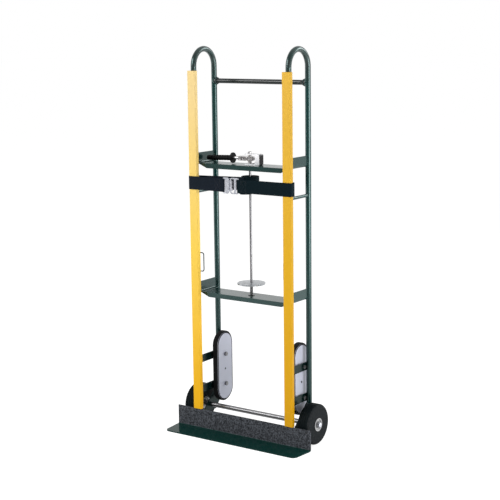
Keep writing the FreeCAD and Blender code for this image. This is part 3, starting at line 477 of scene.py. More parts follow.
def make_plated(name, colour, roughness, streak, cloud_scale=70.0, dulled=0.35):
    """Plated or bare steel with fine drawn streaks and a cloudy polish."""
    material, tree, shader = blank_material(name, colour, roughness, 0.9)
    dull = tuple(channel * 0.62 for channel in colour)
    tone = place_group(tree, MOTTLE, Colour=rgba(colour), Dark=rgba(dull), Cloud_Scale=cloud_scale,
                       Grain_Scale=1500.0, Amount=dulled)
    drawn = place_group(tree, SCUFFS, Scale=500.0, Stretch=streak, Amount=0.6)
    tree.links.new(tone.outputs["Colour"], shader.inputs["Base Color"])
    vary_roughness(tree, shader, tone, roughness * 0.7, roughness * 1.4, drawn, 0.12)
    add_bump(tree, shader, drawn.outputs["Mask"], 0.12, 0.0002)
    return material


def make_bracket_satin():
    """Pale satin plate, with painted shade that darkens the side that faces right."""
    material, tree, shader = painted("bracket_satin", (0.80, 0.80, 0.82), (0.68, 0.68, 0.71), 0.34, 0.5,
                                     peel=0.1, dust=0.05, Specular_IOR_Level=0.2)
    pale = shader.inputs["Base Color"].links[0].from_socket
    # Painted shade: faces that look right turn near black.
    right_shade_mask = remap(tree, facing_axes(tree)["X"], 0.5, 0.8)
    wear_and_shade = mix_colour(tree, right_shade_mask, pale, (0.014, 0.014, 0.016, 1.0))
    tree.links.new(wear_and_shade, shader.inputs["Base Color"])
    return material


def make_rubber(name, colour, roughness, grain_scale, bump, specular=0.22):
    """Matt rubber with a fine grain and greyed patches."""
    material, tree, shader = blank_material(name, colour, roughness, Specular_IOR_Level=specular)
    grey = tuple(channel * 2.0 + 0.004 for channel in colour)
    tone = place_group(tree, MOTTLE, Colour=rgba(colour), Dark=rgba(grey), Cloud_Scale=24.0,
                       Grain_Scale=grain_scale, Amount=0.55)
    tree.links.new(tone.outputs["Colour"], shader.inputs["Base Color"])
    vary_roughness(tree, shader, tone, roughness * 0.88, roughness * 1.1)
    add_bump(tree, shader, tone.outputs["Grain"], bump, 0.0005)
    return material, tree, shader, tone


def make_tyre_rubber():
    """Tyre rubber with moulded rings and specks on the side walls, and a blacker tread."""
    material, tree, shader, tone = make_rubber("tyre_rubber", (0.0045, 0.0062, 0.0072), 0.62, 700.0, 0.4,
                                               0.08)
    place = split_axes(tree, object_place(tree))
    back = math_node(tree, "SUBTRACT", place["Y"], AXLE_Y)
    up = math_node(tree, "SUBTRACT", place["Z"], AXLE_Z)
    back_squared = times(tree, back, back)
    up_squared = times(tree, up, up)
    radius = math_node(tree, "SQRT", math_node(tree, "ADD", back_squared, up_squared))
    ring = math_node(tree, "SINE", times(tree, radius, math.tau / TYRE_RING_PITCH))
    inside = remap(tree, radius, *TYRE_RINGS_END_R, 1.0, 0.0)
    moulded = times(tree, remap(tree, ring, 0.55, 0.9), inside)
    specks = remap(tree, noise(tree, object_place(tree), 230.0, 2.0, 0.7), 0.54, 0.68, 0.0, 0.35)
    greyed = mix_colour(tree, specks, tone.outputs["Colour"], (0.06, 0.064, 0.066, 1.0))
    on_tread = remap(tree, math_node(tree, "ABSOLUTE", facing_axes(tree)["X"]), 0.25, 0.7, 1.0, 0.0)
    blackened = mix_colour(tree, on_tread, greyed, (0.0012, 0.0042, 0.0052, 1.0))
    tree.links.new(blackened, shader.inputs["Base Color"])
    height = math_node(tree, "ADD", moulded, times(tree, tone.outputs["Grain"], 0.25))
    add_bump(tree, shader, height, 0.55, 0.0009)
    return material


def make_webbing(name, valley, crest):
    """Black woven webbing, with painted shade that darkens it between its yarns."""
    material, tree, shader = blank_material(name, crest, 0.7, Specular_IOR_Level=0.06)
    weave = place_group(tree, WEAVE)
    # Painted shade: the colour darkens towards the valleys of the weave.
    shade = remap(tree, weave.outputs["Height"], 0.0, 0.9)
    yarn = times(tree, weave.outputs["Yarn"], 0.6)
    light = times(tree, shade, math_node(tree, "ADD", yarn, 0.55), True)
    colour = mix_colour(tree, light, rgba(valley), rgba(crest))
    tree.links.new(colour, shader.inputs["Base Color"])
    tree.links.new(remap(tree, weave.outputs["Yarn"], 0.2, 0.8, 0.6, 0.82), shader.inputs["Roughness"])
    add_bump(tree, shader, weave.outputs["Height"], 0.7, 0.0004)
    return material


FRAME_PAINT = make_frame_paint()
SHELF_PAINT = enamel("shelf_paint", (0.0065, 0.028, 0.026), (0.0045, 0.019, 0.0175), 0.2,
                     Specular_IOR_Level=0.65, Specular_Tint=(0.78, 1.0, 0.98, 1.0))[0]
CROSSBAR_PAINT = enamel("crossbar_paint", (0.006, 0.011, 0.0105), (0.004, 0.008, 0.0075), 0.24,
                        Specular_IOR_Level=0.4)[0]
# Painted shade: a darker copy of the frame green for the gussets and climber bars low between the wheels.
BRACE_PAINT = enamel("brace_paint", (0.0004, 0.008, 0.0075), (0.0003, 0.005, 0.0047), 0.26, dust=0.02,
                     Specular_IOR_Level=0.25, Specular_Tint=(0.72, 1.0, 0.98, 1.0))[0]
# Painted shade: a darker, less glossy copy of the frame green for the thin keeper wire.
WIRE_PAINT = enamel("wire_paint", (0.001, 0.012, 0.011), (0.0006, 0.008, 0.007), 0.3,
                    Specular_IOR_Level=0.1)[0]
TOE_COAT = make_toe_paint()
# The left cover's paler yellow and the right cover's deeper one are partly their own colours, and partly
# painted light on the left cover and painted shade on the right one.
COVER_LEFT = make_cover_plastic("cover_yellow_pale", (0.77, 0.40, 0.003), (0.78, 0.53, 0.075),
                                (0.71, 0.535, 0.235))
COVER_RIGHT = make_cover_plastic("cover_yellow_deep", (0.62, 0.31, 0.002), (0.65, 0.36, 0.012),
                                 (0.67, 0.395, 0.044), side_shade=(0.76, 0.77, 0.78))
CHEEK_PAINT = painted("cheek_paint", (0.43, 0.45, 0.53), (0.37, 0.385, 0.455), 0.38, 0.5, dust=0.1)[0]
ZINC = make_plated("bright_zinc", (0.74, 0.76, 0.83), 0.26, (1.0, 1.0, 0.05))
PRESSED_ZINC = make_plated("pressed_zinc", (0.38, 0.40, 0.42), 0.3, (1.0, 0.05, 1.0))
HUB_ZINC = make_plated("hub_zinc", (0.46, 0.465, 0.47), 0.28, (0.05, 1.0, 1.0))
STEEL = make_plated("plain_steel", (0.20, 0.203, 0.208), 0.28, (0.05, 1.0, 1.0))
LEVER_STEEL = make_plated("lever_steel", (0.66, 0.645, 0.645), 0.2, (0.05, 1.0, 1.0))
SPINDLE_STEEL = make_plated("spindle_steel", (0.23, 0.228, 0.238), 0.26, (1.0, 1.0, 0.02), 9.0, 0.15)
SLEEVE_ZINC = make_plated("sleeve_zinc", (0.25, 0.25, 0.257), 0.34, (0.05, 1.0, 1.0))
BRACKET_SATIN = make_bracket_satin()
TYRE = make_tyre_rubber()
BELT = make_rubber("belt_rubber", (0.004, 0.0042, 0.0048), 0.58, 500.0, 0.35, 0.1)[0]
GRIP = make_rubber("grip_rubber", (0.0025, 0.0028, 0.0034), 0.46, 900.0, 0.3, 0.08)[0]
CORE = make_rubber("core_nylon", (0.03, 0.03, 0.03), 0.5, 700.0, 0.2)[0]
BUSH = painted("bush_nylon", (0.70, 0.70, 0.66), (0.58, 0.57, 0.52), 0.45, 0.4, dust=0.1)[0]
WEBBING = make_webbing("webbing", (0.0004, 0.0026, 0.004), (0.0035, 0.0155, 0.022))
WORN_WEBBING = make_webbing("worn_webbing", (0.002, 0.0034, 0.0055), (0.0135, 0.021, 0.034))
THREAD = make_rubber("stitch_thread", (0.03, 0.031, 0.034), 0.6, 2500.0, 0.3)[0]

FINISHES = {
    "green_paint": FRAME_PAINT, "toe_paint": TOE_COAT, "cover_left": COVER_LEFT, "cover_right": COVER_RIGHT,
    "tyre_rubber": TYRE, "belt_rubber": BELT, "climber_cheek": CHEEK_PAINT, "core_plastic": CORE,
    "hub_zinc": HUB_ZINC, "bush_nylon": BUSH, "webbing": WEBBING, "grip_rubber": GRIP, "zinc_plate": ZINC,
    "steel": STEEL, "dark_steel": BRACKET_SATIN,
}
for subpart in frame["record"]["subparts"]:
    slots = nodes[subpart["node"]].data.materials
    slots.clear()
    slots.append(FINISHES[subpart["material_slot"]])
OWN_FINISHES = (
    (PRESSED_ZINC, ("hand_disc",)),
    (SPINDLE_STEEL, ("spindle",)),
    (CROSSBAR_PAINT, ("top_crossbar",)),
    (SHELF_PAINT, ("upper_shelf", "lower_shelf")),
    (BRACE_PAINT, ("axle_gusset_left", "axle_gusset_right", "climber_bars_left", "climber_bars_right")),
    (WIRE_PAINT, ("strap_keeper_left", "strap_keeper_right")),
    (LEVER_STEEL, ("lever_arm", "lever_collars", "ratchet_wheel", "spindle_nut", "drive_pawl", "holding_pawl",
                   "holding_pawl_pin")),
)
for finish, pieces in OWN_FINISHES:
    for piece_name in pieces:
        nodes[piece_name].data.materials[0] = finish


# Objects
def add_object(name, data):
    """A new object at the origin of the scene."""
    added = bpy.data.objects.new(name, data)
    bpy.context.scene.collection.objects.link(added)
    return added


def mesh_piece(name, points, faces, material):
    """An object with one mesh and one material."""
    mesh = bpy.data.meshes.new(name)
    mesh.from_pydata(points, [], faces)
    mesh.materials.append(material)
    return add_object(name, mesh)


# Webbing
def rounded_path(corners, bends, step=0.006):
    """Plan line through corner points, with a round bend at each and points at about one step."""
    path = []

    def run_to(start, end):
        count = max(1, round((end - start).length / step))
        for index in range(count):
            path.append(start.lerp(end, index / count))

    place = corners[0]
    for before, corner, after, bend in zip(corners, corners[1:], corners[2:], bends):
        back = (before - corner).normalized()
        ahead = (after - corner).normalized()
        half_turn = back.angle(ahead) / 2
        reach = bend / math.tan(half_turn)
        centre = corner + (back + ahead).normalized() * (bend / math.sin(half_turn))
        first = corner + back * reach
        last = corner + ahead * reach
        run_to(place, first)
        sweep = (first - centre).angle(last - centre)
        count = max(4, round(sweep / BEND_STEP))
        for index in range(count):
            out = (first - centre).normalized().slerp((last - centre).normalized(), index / count)
            path.append(centre + out * bend)
        place = last
    run_to(place, corners[-1])
    path.append(corners[-1].copy())
    return path


def strap_section():
    """Cross section of the webbing: flat faces, and edges that round over a thicker selvedge."""
    half_width = STRAP_WIDTH / 2
    half = STRAP_THICKNESS / 2
    edge = half_width - half
    hollow = half * 0.86
    middle = half * 0.92
    shoulder = half * 0.7
    front = [(half, -edge), (half, -edge + SELVEDGE / 2), (hollow, -edge + SELVEDGE), (middle, 0.0),
             (hollow, edge - SELVEDGE), (half, edge - SELVEDGE / 2), (half, edge)]
    tip = [(shoulder, edge + shoulder), (0.0, half_width), (-shoulder, edge + shoulder)]
    back = [(-out, -height) for out, height in front]
    foot = [(-out, -height) for out, height in tip]
    return front + tip + back + foot


def strap_piece(name, path, heights, material):
    """Webbing on edge along a plan line, with its middle at the given heights."""
    section = strap_section()
    sides = len(section)
    points = []
    lengths = [0.0]
    for index, place in enumerate(path):
        before = path[max(index - 1, 0)]
        after = path[min(index + 1, len(path) - 1)]
        along = (after - before).normalized()
        outward = Vector((along.y, -along.x, 0.0))
        for out, height in section:
            points.append(place + outward * out + Vector((0.0, 0.0, heights[index] + height)))
        if index:
            lengths.append(lengths[-1] + (place - path[index - 1]).length)
    faces = []
    for index in range(len(path) - 1):
        low = index * sides
        for side in range(sides):
            other = (side + 1) % sides
            faces.append((low + side, low + sides + side, low + sides + other, low + other))
    faces.append(tuple(range(sides)))
    last = (len(path) - 1) * sides
    faces.append(tuple(last + side for side in reversed(range(sides))))
    piece = mesh_piece(name, points, faces, material)
    layer = piece.data.uv_layers.new(name="strap")
    for polygon in piece.data.polygons:
        polygon.use_smooth = True
        for loop in polygon.loop_indices:
            vertex = piece.data.loops[loop].vertex_index
            layer.data[loop].uv = (lengths[vertex // sides], section[vertex % sides][1])
    piece.data.validate()
    return piece


def flat(x, y):
    """A point of the strap's plan line."""
    return Vector((x, y, 0.0))


def share_of(value, low, high):
    """How far a value has come from low to high, from 0 to 1."""
    return max(0.0, min(1.0, (value - low) / (high - low)))


def anchor_heights(path):
    """Heights of the anchored half: its sewn tail sags behind, and its front run rises from the buckle."""
    heights = []
    for index, place in enumerate(path):
        if index < len(path) // 2 and place.y > STRAP_Y + STRAP_THICKNESS / 2:
            eased = 1 - SAG_EASE * share_of(place.x, SAG_EASES_FROM, ANCHOR_TAIL_LENGTH)
            drop = share_of(place.x, LOOP_TURN_X, TAIL_SLANT_END) * eased
            heights.append(STRAP_Z - ANCHOR_TAIL_SAG * drop)
        else:
            heights.append(STRAP_Z + STRAP_LIFT * share_of(place.x, 0.0, LIFT_LENGTH))
    return heights


anchor_path = rounded_path(
    [flat(ANCHOR_TAIL_LENGTH, SEWN_Y), flat(TAIL_SLANT_END, SEWN_Y), flat(TAIL_SLANT_START, STRAP_TAIL_Y),
     flat(LOOP_TURN_X, STRAP_TAIL_Y), flat(LOOP_TURN_X, STRAP_Y), flat(STRAP_WRAP_OUT_X, STRAP_Y),
     flat(STRAP_WRAP_OUT_X, STRAP_WRAP_BACK_Y), flat(STRAP_WRAP_IN_X, STRAP_WRAP_BACK_Y),
     flat(STRAP_WRAP_IN_X, STRAP_WRAP_END_Y)],
    [TAIL_BEND, TAIL_BEND, BUCKLE_BEND, BUCKLE_BEND, FRONT_BEND, WRAP_BEND, WRAP_BEND])
anchor_strap = strap_piece("anchor_strap", anchor_path, anchor_heights(anchor_path), WEBBING)
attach(anchor_strap, "frame")
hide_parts("strap_anchor_half")

rear_corner = flat(-STRAP_WRAP_OUT_X, STRAP_WRAP_BACK_Y)
rear_end = flat(0.0, STRAP_RUN_END_Y)
winding_path = rounded_path(
    [flat(HOOK_TAIL_X - TAIL_LENGTH, SEWN_Y), flat(HOOK_TAIL_X - TAIL_SLANT_END, SEWN_Y),
     flat(HOOK_TAIL_X - TAIL_SLANT_START, STRAP_TAIL_Y), flat(HOOK_TURN_X, STRAP_TAIL_Y),
     flat(HOOK_TURN_X, STRAP_Y), flat(-STRAP_WRAP_OUT_X, STRAP_Y), rear_corner, rear_end],
    [TAIL_BEND, TAIL_BEND, BUCKLE_BEND, BUCKLE_BEND, FRONT_BEND, WRAP_BEND])
rear_length = (rear_end - rear_corner).length
rear_along = (rear_end - rear_corner).normalized()
winding_heights = []
for place in winding_path:
    lift = STRAP_LIFT * share_of(-place.x, -HOOK_TURN_X, LIFT_LENGTH - HOOK_TURN_X)
    if place.y > STRAP_WRAP_BACK_Y - WRAP_MARGIN:
        climbed = share_of((place - rear_corner).dot(rear_along), 0.0, rear_length)
        lift = STRAP_LIFT + (STRAP_RISE - STRAP_LIFT) * climbed
    winding_heights.append(STRAP_Z + lift)
winding_strap = strap_piece("winding_strap", winding_path, winding_heights, WORN_WEBBING)
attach(winding_strap, "frame")
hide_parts("strap_winding_half")


def roll_path(steps=20):
    """The wound strap's plan line, in half turns from outside to inside about two centres."""
    path = []
    radius = ROLL_OUTER_R
    for half in range(2 * ROLL_TURNS):
        to_right = half % 2 == 0
        offset = -ROLL_STEP if to_right else ROLL_STEP
        centre = flat(0.0, SPINDLE_Y + offset)
        first = -math.pi / 2 if to_right else math.pi / 2
        for step in range(steps):
            angle = first + math.pi * step / steps
            path.append(centre + Vector((radius * math.cos(angle), radius * math.sin(angle), 0.0)))
        radius -= 2 * ROLL_STEP
    return path


wound_path = roll_path()
wound_strap = strap_piece("wound_strap", wound_path, [STRAP_Z + STRAP_RISE] * len(wound_path), WEBBING)
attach(wound_strap, "spindle_unit")
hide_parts("strap_roll")


# Welds and stitches, which repeat along lines
def line_tree(name, segments, rings):
    """Geometry nodes that set one small bead at each step along edges, stretched along the line."""
    tree = bpy.data.node_groups.new(name, "GeometryNodeTree")
    for label, kind in (("Geometry", "Geometry"), ("Spacing", "Float"), ("Size", "Vector"),
                        ("Unevenness", "Float"), ("Seed", "Int"), ("Finish", "Material")):
        tree.interface.new_socket(label, in_out="INPUT", socket_type="NodeSocket" + kind)
    tree.interface.new_socket("Geometry", in_out="OUTPUT", socket_type="NodeSocketGeometry")
    start = tree.nodes.new("NodeGroupInput")
    end = tree.nodes.new("NodeGroupOutput")
    link = tree.links.new
    line = tree.nodes.new("GeometryNodeMeshToCurve")
    link(start.outputs["Geometry"], line.inputs["Mesh"])
    stops = tree.nodes.new("GeometryNodeCurveToPoints")
    stops.mode = "LENGTH"
    link(line.outputs["Curve"], stops.inputs["Curve"])
    link(start.outputs["Spacing"], stops.inputs["Length"])
    bead = tree.nodes.new("GeometryNodeMeshUVSphere")
    bead.inputs["Segments"].default_value = segments
    bead.inputs["Rings"].default_value = rings
    bead.inputs["Radius"].default_value = 0.5
    turn = tree.nodes.new("FunctionNodeAlignRotationToVector")
    turn.axis = "X"
    link(stops.outputs["Tangent"], turn.inputs["Vector"])
    chance = tree.nodes.new("FunctionNodeRandomValue")
    chance.data_type = "FLOAT"
    floats = [socket for socket in chance.inputs if socket.type == "VALUE"]
    less = tree.nodes.new("ShaderNodeMath")
    less.operation = "SUBTRACT"
    less.inputs[0].default_value = 1.0
    link(start.outputs["Unevenness"], less.inputs[1])
    link(less.outputs[0], floats[0])
    floats[1].default_value = 1.0
    link(start.outputs["Seed"], chance.inputs["Seed"])
    value = [socket for socket in chance.outputs if socket.type == "VALUE"][0]
    size = tree.nodes.new("ShaderNodeVectorMath")
    size.operation = "SCALE"
    link(start.outputs["Size"], size.inputs[0])
    link(value, size.inputs["Scale"])
    copies = tree.nodes.new("GeometryNodeInstanceOnPoints")
    link(stops.outputs["Points"], copies.inputs["Points"])
    link(bead.outputs["Mesh"], copies.inputs["Instance"])
    link(turn.outputs["Rotation"], copies.inputs["Rotation"])
    link(size.outputs["Vector"], copies.inputs["Scale"])
    real = tree.nodes.new("GeometryNodeRealizeInstances")
    link(copies.outputs["Instances"], real.inputs["Geometry"])
    smooth = tree.nodes.new("GeometryNodeSetShadeSmooth")
    link(real.outputs["Geometry"], smooth.inputs["Geometry"])
    finish = tree.nodes.new("GeometryNodeSetMaterial")
    link(smooth.outputs["Geometry"], finish.inputs["Geometry"])
    link(start.outputs["Finish"], finish.inputs["Material"])
    link(finish.outputs["Geometry"], end.inputs["Geometry"])
    return tree


def beads_along(name, tree, lines, spacing, size, unevenness, seed, material):
    """A plain mesh of the beads that a tree sets along several lines."""
    points = []
    edges = []
    for line, closed in lines:
        first = len(points)
        points += line
        edges += [(first + index, first + index + 1) for index in range(len(line) - 1)]
        if closed:
            edges.append((first + len(line) - 1, first))
    guide_mesh = bpy.data.meshes.new(name + "_lines")
    guide_mesh.from_pydata(points, edges, [])
    guide = add_object(name + "_lines", guide_mesh)
    modifier = guide.modifiers.new("beads", "NODES")
    modifier.node_group = tree
    values = {"Spacing": spacing, "Size": size, "Unevenness": unevenness, "Seed": seed, "Finish": material}
    for item in tree.interface.items_tree:
        if item.in_out == "INPUT" and item.name in values:
            modifier[item.identifier] = values[item.name]
    evaluated = guide.evaluated_get(bpy.context.evaluated_depsgraph_get())
    mesh = bpy.data.meshes.new_from_object(evaluated)
    mesh.name = name
    bpy.data.objects.remove(guide)
    return add_object(name, mesh)


def ring_steps(count=28):
    """Angles round a full circle."""
    return [math.tau * index / count for index in range(count)]


def upright(x, y, low, high):
    """A straight line upwards."""
    return ([Vector((x, y, low)), Vector((x, y, (low + high) / 2)), Vector((x, y, high))], False)


def inner_ring(side, rail_y, middle_z, depth, height, setback=0.0, count=28):
    """A closed line on the inner side of a rail."""
    ring = []
    for angle in ring_steps(count):
        y = setback + depth * math.cos(angle)
        x = RAIL_X - math.sqrt(TUBE_R ** 2 - y ** 2)
        ring.append(Vector((side * x, rail_y + y, middle_z + height * math.sin(angle))))
    return ring, True


def weld_lines():
    """Where tubes, bars and plates are welded to the rails, on both sides."""
    tube_lines = []
    bar_lines = []
    wire_lines = []
    for side in (-1, 1):
        tube_lines.append(
            inner_ring(side, REAR_RAIL_Y, CROSSBAR_Z, CROSSBAR_WELD_DEPTH, CROSSBAR_WELD_HEIGHT))
        flare_ring = []
        for angle in ring_steps():
            y = CROSSBAR_R * math.cos(angle)
            z = CROSSBAR_Z + CROSSBAR_R * math.sin(angle)
            flare_ring.append(Vector((side * (RAIL_X - TUBE_R - CROSSBAR_FLARE), REAR_RAIL_Y + y, z)))
        bar_lines.append((flare_ring, True))
        for rail_y, inward in ((FRONT_RAIL_Y, 1), (REAR_RAIL_Y, -1)):
            ring = []
            for angle in ring_steps():
                x = RUNG_WELD_R * math.cos(angle)
                y = math.sqrt(TUBE_R ** 2 - x ** 2)
                z = RUNG_Z + RUNG_WELD_R * math.sin(angle)
                ring.append(Vector((side * RAIL_X + x, rail_y + inward * y, z)))
            bar_lines.append((ring, True))
            seam_y = rail_y + inward * (TUBE_R + SEAM_LIFT)
            for top in SHELF_TOPS:
                for face in (-1, 1):
                    x = side * RAIL_X + face * SHELF_SEAM_X
                    bar_lines.append(upright(x, seam_y, top + SHELF_SEAM_START, top + SHELF_END_HEIGHT))
            for bar_z in BAR_ZS:
                half = BAR_HEIGHT / 2
                bar_y = rail_y + inward * BAR_SEAM_Y
                bar_lines.append(upright(side * BAR_SEAM_X, bar_y, bar_z - half, bar_z + half))
        for face in (-1, 1):
            x = side * RAIL_X + face * GUSSET_SEAM_X
            bar_lines.append(upright(x, FRONT_RAIL_Y + TUBE_R, *GUSSET_FRONT_SEAM))
            bar_lines.append(upright(x, REAR_RAIL_Y - TUBE_R, *GUSSET_REAR_SEAM))
        for end in (-1, 1):
            end_z = KEEPER_Z + end * KEEPER_HALF
            wire_lines.append(
                inner_ring(side, FRONT_RAIL_Y, end_z, KEEPER_WELD_R, KEEPER_WELD_R, KEEPER_SETBACK, 14))
    return tube_lines, bar_lines, wire_lines


BEAD_TREE = line_tree("weld_ripples", 10, 6)
tube_seams, bar_seams, wire_seams = weld_lines()
welds = [
    beads_along("tube_welds", BEAD_TREE, tube_seams, TUBE_BEAD_STEP, TUBE_BEAD, 0.1, 3, FRAME_PAINT),
    beads_along("bar_welds", BEAD_TREE, bar_seams, BAR_BEAD_STEP, BAR_BEAD, 0.16, 7, FRAME_PAINT),
    beads_along("wire_welds", BEAD_TREE, wire_seams, WIRE_BEAD_STEP, WIRE_BEAD, 0.12, 11, FRAME_PAINT),
]
for weld in welds:
    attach(weld, "frame")


def stitch_box(x_low, x_high, y):
    """A sewn rectangle with a cross, on one face of the strap."""
    low = STRAP_Z - STRAP_WIDTH / 2 + STITCH_INSET
    high = STRAP_Z + STRAP_WIDTH / 2 - STITCH_INSET
    corners = [Vector((x_low, y, low)), Vector((x_high, y, low)), Vector((x_high, y, high)),
               Vector((x_low, y, high))]
    return [(corners, True), ([corners[0], corners[2]], False), ([corners[1], corners[3]], False)]


stitch_lines = []
for face_y in (STRAP_Y - STITCH_OUT, SEWN_Y + STITCH_OUT):
    stitch_lines += stitch_box(STITCH_BOX[0], STITCH_BOX[1], face_y)
    stitch_lines += stitch_box(HOOK_TAIL_X - STITCH_BOX[1], HOOK_TAIL_X - STITCH_BOX[0], face_y)
STITCH_TREE = line_tree("strap_stitches", 6, 4)
stitches = beads_along("strap_stitching", STITCH_TREE, stitch_lines, STITCH_STEP, STITCH, 0.08, 5, THREAD)
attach(stitches, "frame")


# Pieces that go round the axle, the climber cheeks and the ratchet
def finished_shape(name, shape, material):
    """An object from a built shape, with its faces outward and its corners sharp."""
    bmesh.ops.recalc_face_normals(shape, faces=shape.faces)
    mesh = bpy.data.meshes.new(name)
    shape.to_mesh(mesh)
    shape.free()
    mesh.materials.append(material)
    mesh.shade_smooth()
    mesh.set_sharp_from_angle(angle=SHARP_ANGLE)
    return add_object(name, mesh)


def swept_rings(name, rings, material):
    """Sections that are swept round closed loops."""
    shape = bmesh.new()
    for stations, section in rings:
        loops = []
        for centre, outward, side in stations:
            loops.append([shape.verts.new(centre + outward * out + side * along) for out, along in section])
        for index, loop in enumerate(loops):
            before = loops[index - 1]
            for corner in range(len(section)):
                shape.faces.new((before[corner - 1], before[corner], loop[corner], loop[corner - 1]))
    return finished_shape(name, shape, material)


def stacked_loops(name, stacks, material):
    """Solids whose sides join loops of points, with both ends closed."""
    shape = bmesh.new()
    for stack in stacks:
        loops = [[shape.verts.new(place) for place in loop] for loop in stack]
        for near, far in zip(loops, loops[1:]):
            for corner in range(len(near)):
                shape.faces.new((near[corner - 1], near[corner], far[corner], far[corner - 1]))
        shape.faces.new(loops[0])
        shape.faces.new(loops[-1])
    return finished_shape(name, shape, material)


def axle_sleeve():
    """Loose tube that hangs on the axle between the gussets."""
    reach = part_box("axle_gusset_right")[0][0] - SLEEVE_END_GAP
    middle = Vector((0.0, AXLE_Y, AXLE_Z + AXLE_R - SLEEVE_BORE_R - SLEEVE_PRESS))
    stations = []
    for angle in ring_steps(40):
        stations.append((middle, Vector((0.0, math.cos(angle), math.sin(angle))), Vector((1.0, 0.0, 0.0))))
    section = [(SLEEVE_BORE_R, -reach), (SLEEVE_R, -reach), (SLEEVE_R, reach), (SLEEVE_BORE_R, reach)]
    return swept_rings("axle_sleeve", [(stations, section)], SLEEVE_ZINC)


def cheek_edging():
    """Rubber edging on the rim of each climber cheek."""
    shoulder = 0.3 * EDGING_HEIGHT
    section = [(-EDGING_WIDTH, -EDGING_ROOT), (-EDGING_WIDTH, shoulder), (-0.8 * EDGING_WIDTH, EDGING_HEIGHT),
               (-0.2 * EDGING_WIDTH, EDGING_HEIGHT), (EDGING_LAP, shoulder), (EDGING_LAP, -EDGING_ROOT)]
    rings = []
    for cheek, outward_x in CHEEK_SIDES:
        low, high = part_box("climber_" + cheek)
        radius = (high[1] - low[1]) / 2
        face_x = high[0] if outward_x > 0 else low[0]
        side = Vector((outward_x, 0.0, 0.0))
        stations = []
        for angle in ring_steps(72):
            top = math.sin(angle) > 0
            centre = Vector((face_x, (low[1] + high[1]) / 2, high[2] - radius if top else low[2] + radius))
            outward = Vector((0.0, math.cos(angle), math.sin(angle)))
            stations.append((centre + outward * radius, outward, side))
        rings.append((stations, section))
    return swept_rings("cheek_edging", rings, BELT)


def bracket_face():
    """Pale plate that closes the front of the ratchet's bracket, with a raised seat on the bracket's wall."""
    low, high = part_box("tightener_bracket")
    middle = flat((FACE_LEFT_X + high[0]) / 2, low[2])
    outline = rounded_path(
        [middle, flat(high[0], low[2]), flat(high[0], high[2]), flat(FACE_LEFT_X, high[2]),
         flat(FACE_LEFT_X, low[2]), middle],
        [FACE_OUTER_BEND, FACE_OUTER_BEND, FACE_INNER_BEND, FACE_INNER_BEND])[:-1]
    centre = flat(middle.x, (low[2] + high[2]) / 2)
    back_y = low[1] - FACE_GAP
    front_y = back_y - FACE_THICKNESS
    loops = []
    for y, share in ((back_y, 1.0), (front_y + FACE_BEVEL, 1.0), (front_y, FACE_DRAWN_IN)):
        drawn = [centre + (place - centre) * share for place in outline]
        loops.append([Vector((place.x, y, place.y)) for place in drawn])
    seat_left, seat_right = (high[0] - inset for inset in SEAT_X)
    seat_low = low[2] + SEAT_MARGIN_Z
    seat_high = high[2] - SEAT_MARGIN_Z
    seat = []
    for y in (low[1] + SEAT_ROOT, back_y - SEAT_LAP):
        seat.append([Vector((seat_left, y, seat_low)), Vector((seat_right, y, seat_low)),
                     Vector((seat_right, y, seat_high)), Vector((seat_left, y, seat_high))])
    return stacked_loops("bracket_face", [loops, seat], BRACKET_SATIN)


def cheek_hole_shade_discs():
    """Black disc in the middle hole of each climber cheek, a dark piece that stands in for the shade inside
    the hole.
    """
    stacks = []
    for cheek, outward_x in CHEEK_SIDES:
        low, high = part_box("climber_" + cheek)
        face_x = high[0] if outward_x > 0 else low[0]
        middle_y = (low[1] + high[1]) / 2
        loops = []
        for depth, radius in zip(HOLE_SHADE_DEPTHS, (HOLE_SHADE_R, HOLE_SHADE_R, HOLE_SHADE_TIP_R)):
            loops.append([Vector((face_x - outward_x * depth, middle_y + radius * math.cos(angle),
                                  HOLE_SHADE_Z + radius * math.sin(angle))) for angle in ring_steps(24)])
        stacks.append(loops)
    return stacked_loops("cheek_hole_shade_discs", stacks, BELT)


for extra, slot_name in ((axle_sleeve(), "zinc_plate"), (cheek_edging(), "belt_rubber"),
                         (cheek_hole_shade_discs(), "belt_rubber"), (bracket_face(), "dark_steel")):
    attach(extra, "frame")


# Studio
FLOOR_REACH = 40.0
FLOOR_MIRROR_Y = (-0.8, 0.6)
FLOOR_TONE = (0.8, 0.8, 0.8)
FLOOR_SHOWN = (0.4, 0.4, 0.4)
FLOOR_GLOW = 0.8
AMBIENT = 0.5
ROOM_FRONT = 0.3
ROOM_TURN_Y = (-0.5, 0.3)


def floor_material():
    """Pale floor that shows white to the camera, and in mirrors behind the truck, and keeps the shadow."""
    material = bpy.data.materials.new("studio_floor")
    material.use_nodes = True
    tree = material.node_tree
    tree.nodes.clear()
    out = tree.nodes.new("ShaderNodeOutputMaterial")
    diffuse = tree.nodes.new("ShaderNodeBsdfDiffuse")
    diffuse.inputs["Color"].default_value = rgba(FLOOR_TONE)
    shade = tree.nodes.new("ShaderNodeBsdfDiffuse")
    shade.inputs["Color"].default_value = rgba(FLOOR_SHOWN)
    glow = tree.nodes.new("ShaderNodeEmission")
    glow.inputs["Strength"].default_value = FLOOR_GLOW
    shown = tree.nodes.new("ShaderNodeAddShader")
    tree.links.new(shade.outputs["BSDF"], shown.inputs[0])
    tree.links.new(glow.outputs["Emission"], shown.inputs[1])
    path = tree.nodes.new("ShaderNodeLightPath")
    behind = remap(tree, split_axes(tree, object_place(tree))["Y"], *FLOOR_MIRROR_Y)
    mirrored = times(tree, path.outputs["Is Glossy Ray"], behind)
    seen = math_node(tree, "MAXIMUM", path.outputs["Is Camera Ray"], path.outputs["Is Transmission Ray"])
    seen = math_node(tree, "MAXIMUM", seen, mirrored)
    mix = tree.nodes.new("ShaderNodeMixShader")
    tree.links.new(seen, mix.inputs["Fac"])
    tree.links.new(diffuse.outputs["BSDF"], mix.inputs[1])
    tree.links.new(shown.outputs["Shader"], mix.inputs[2])
    tree.links.new(mix.outputs["Shader"], out.inputs["Surface"])
    return material


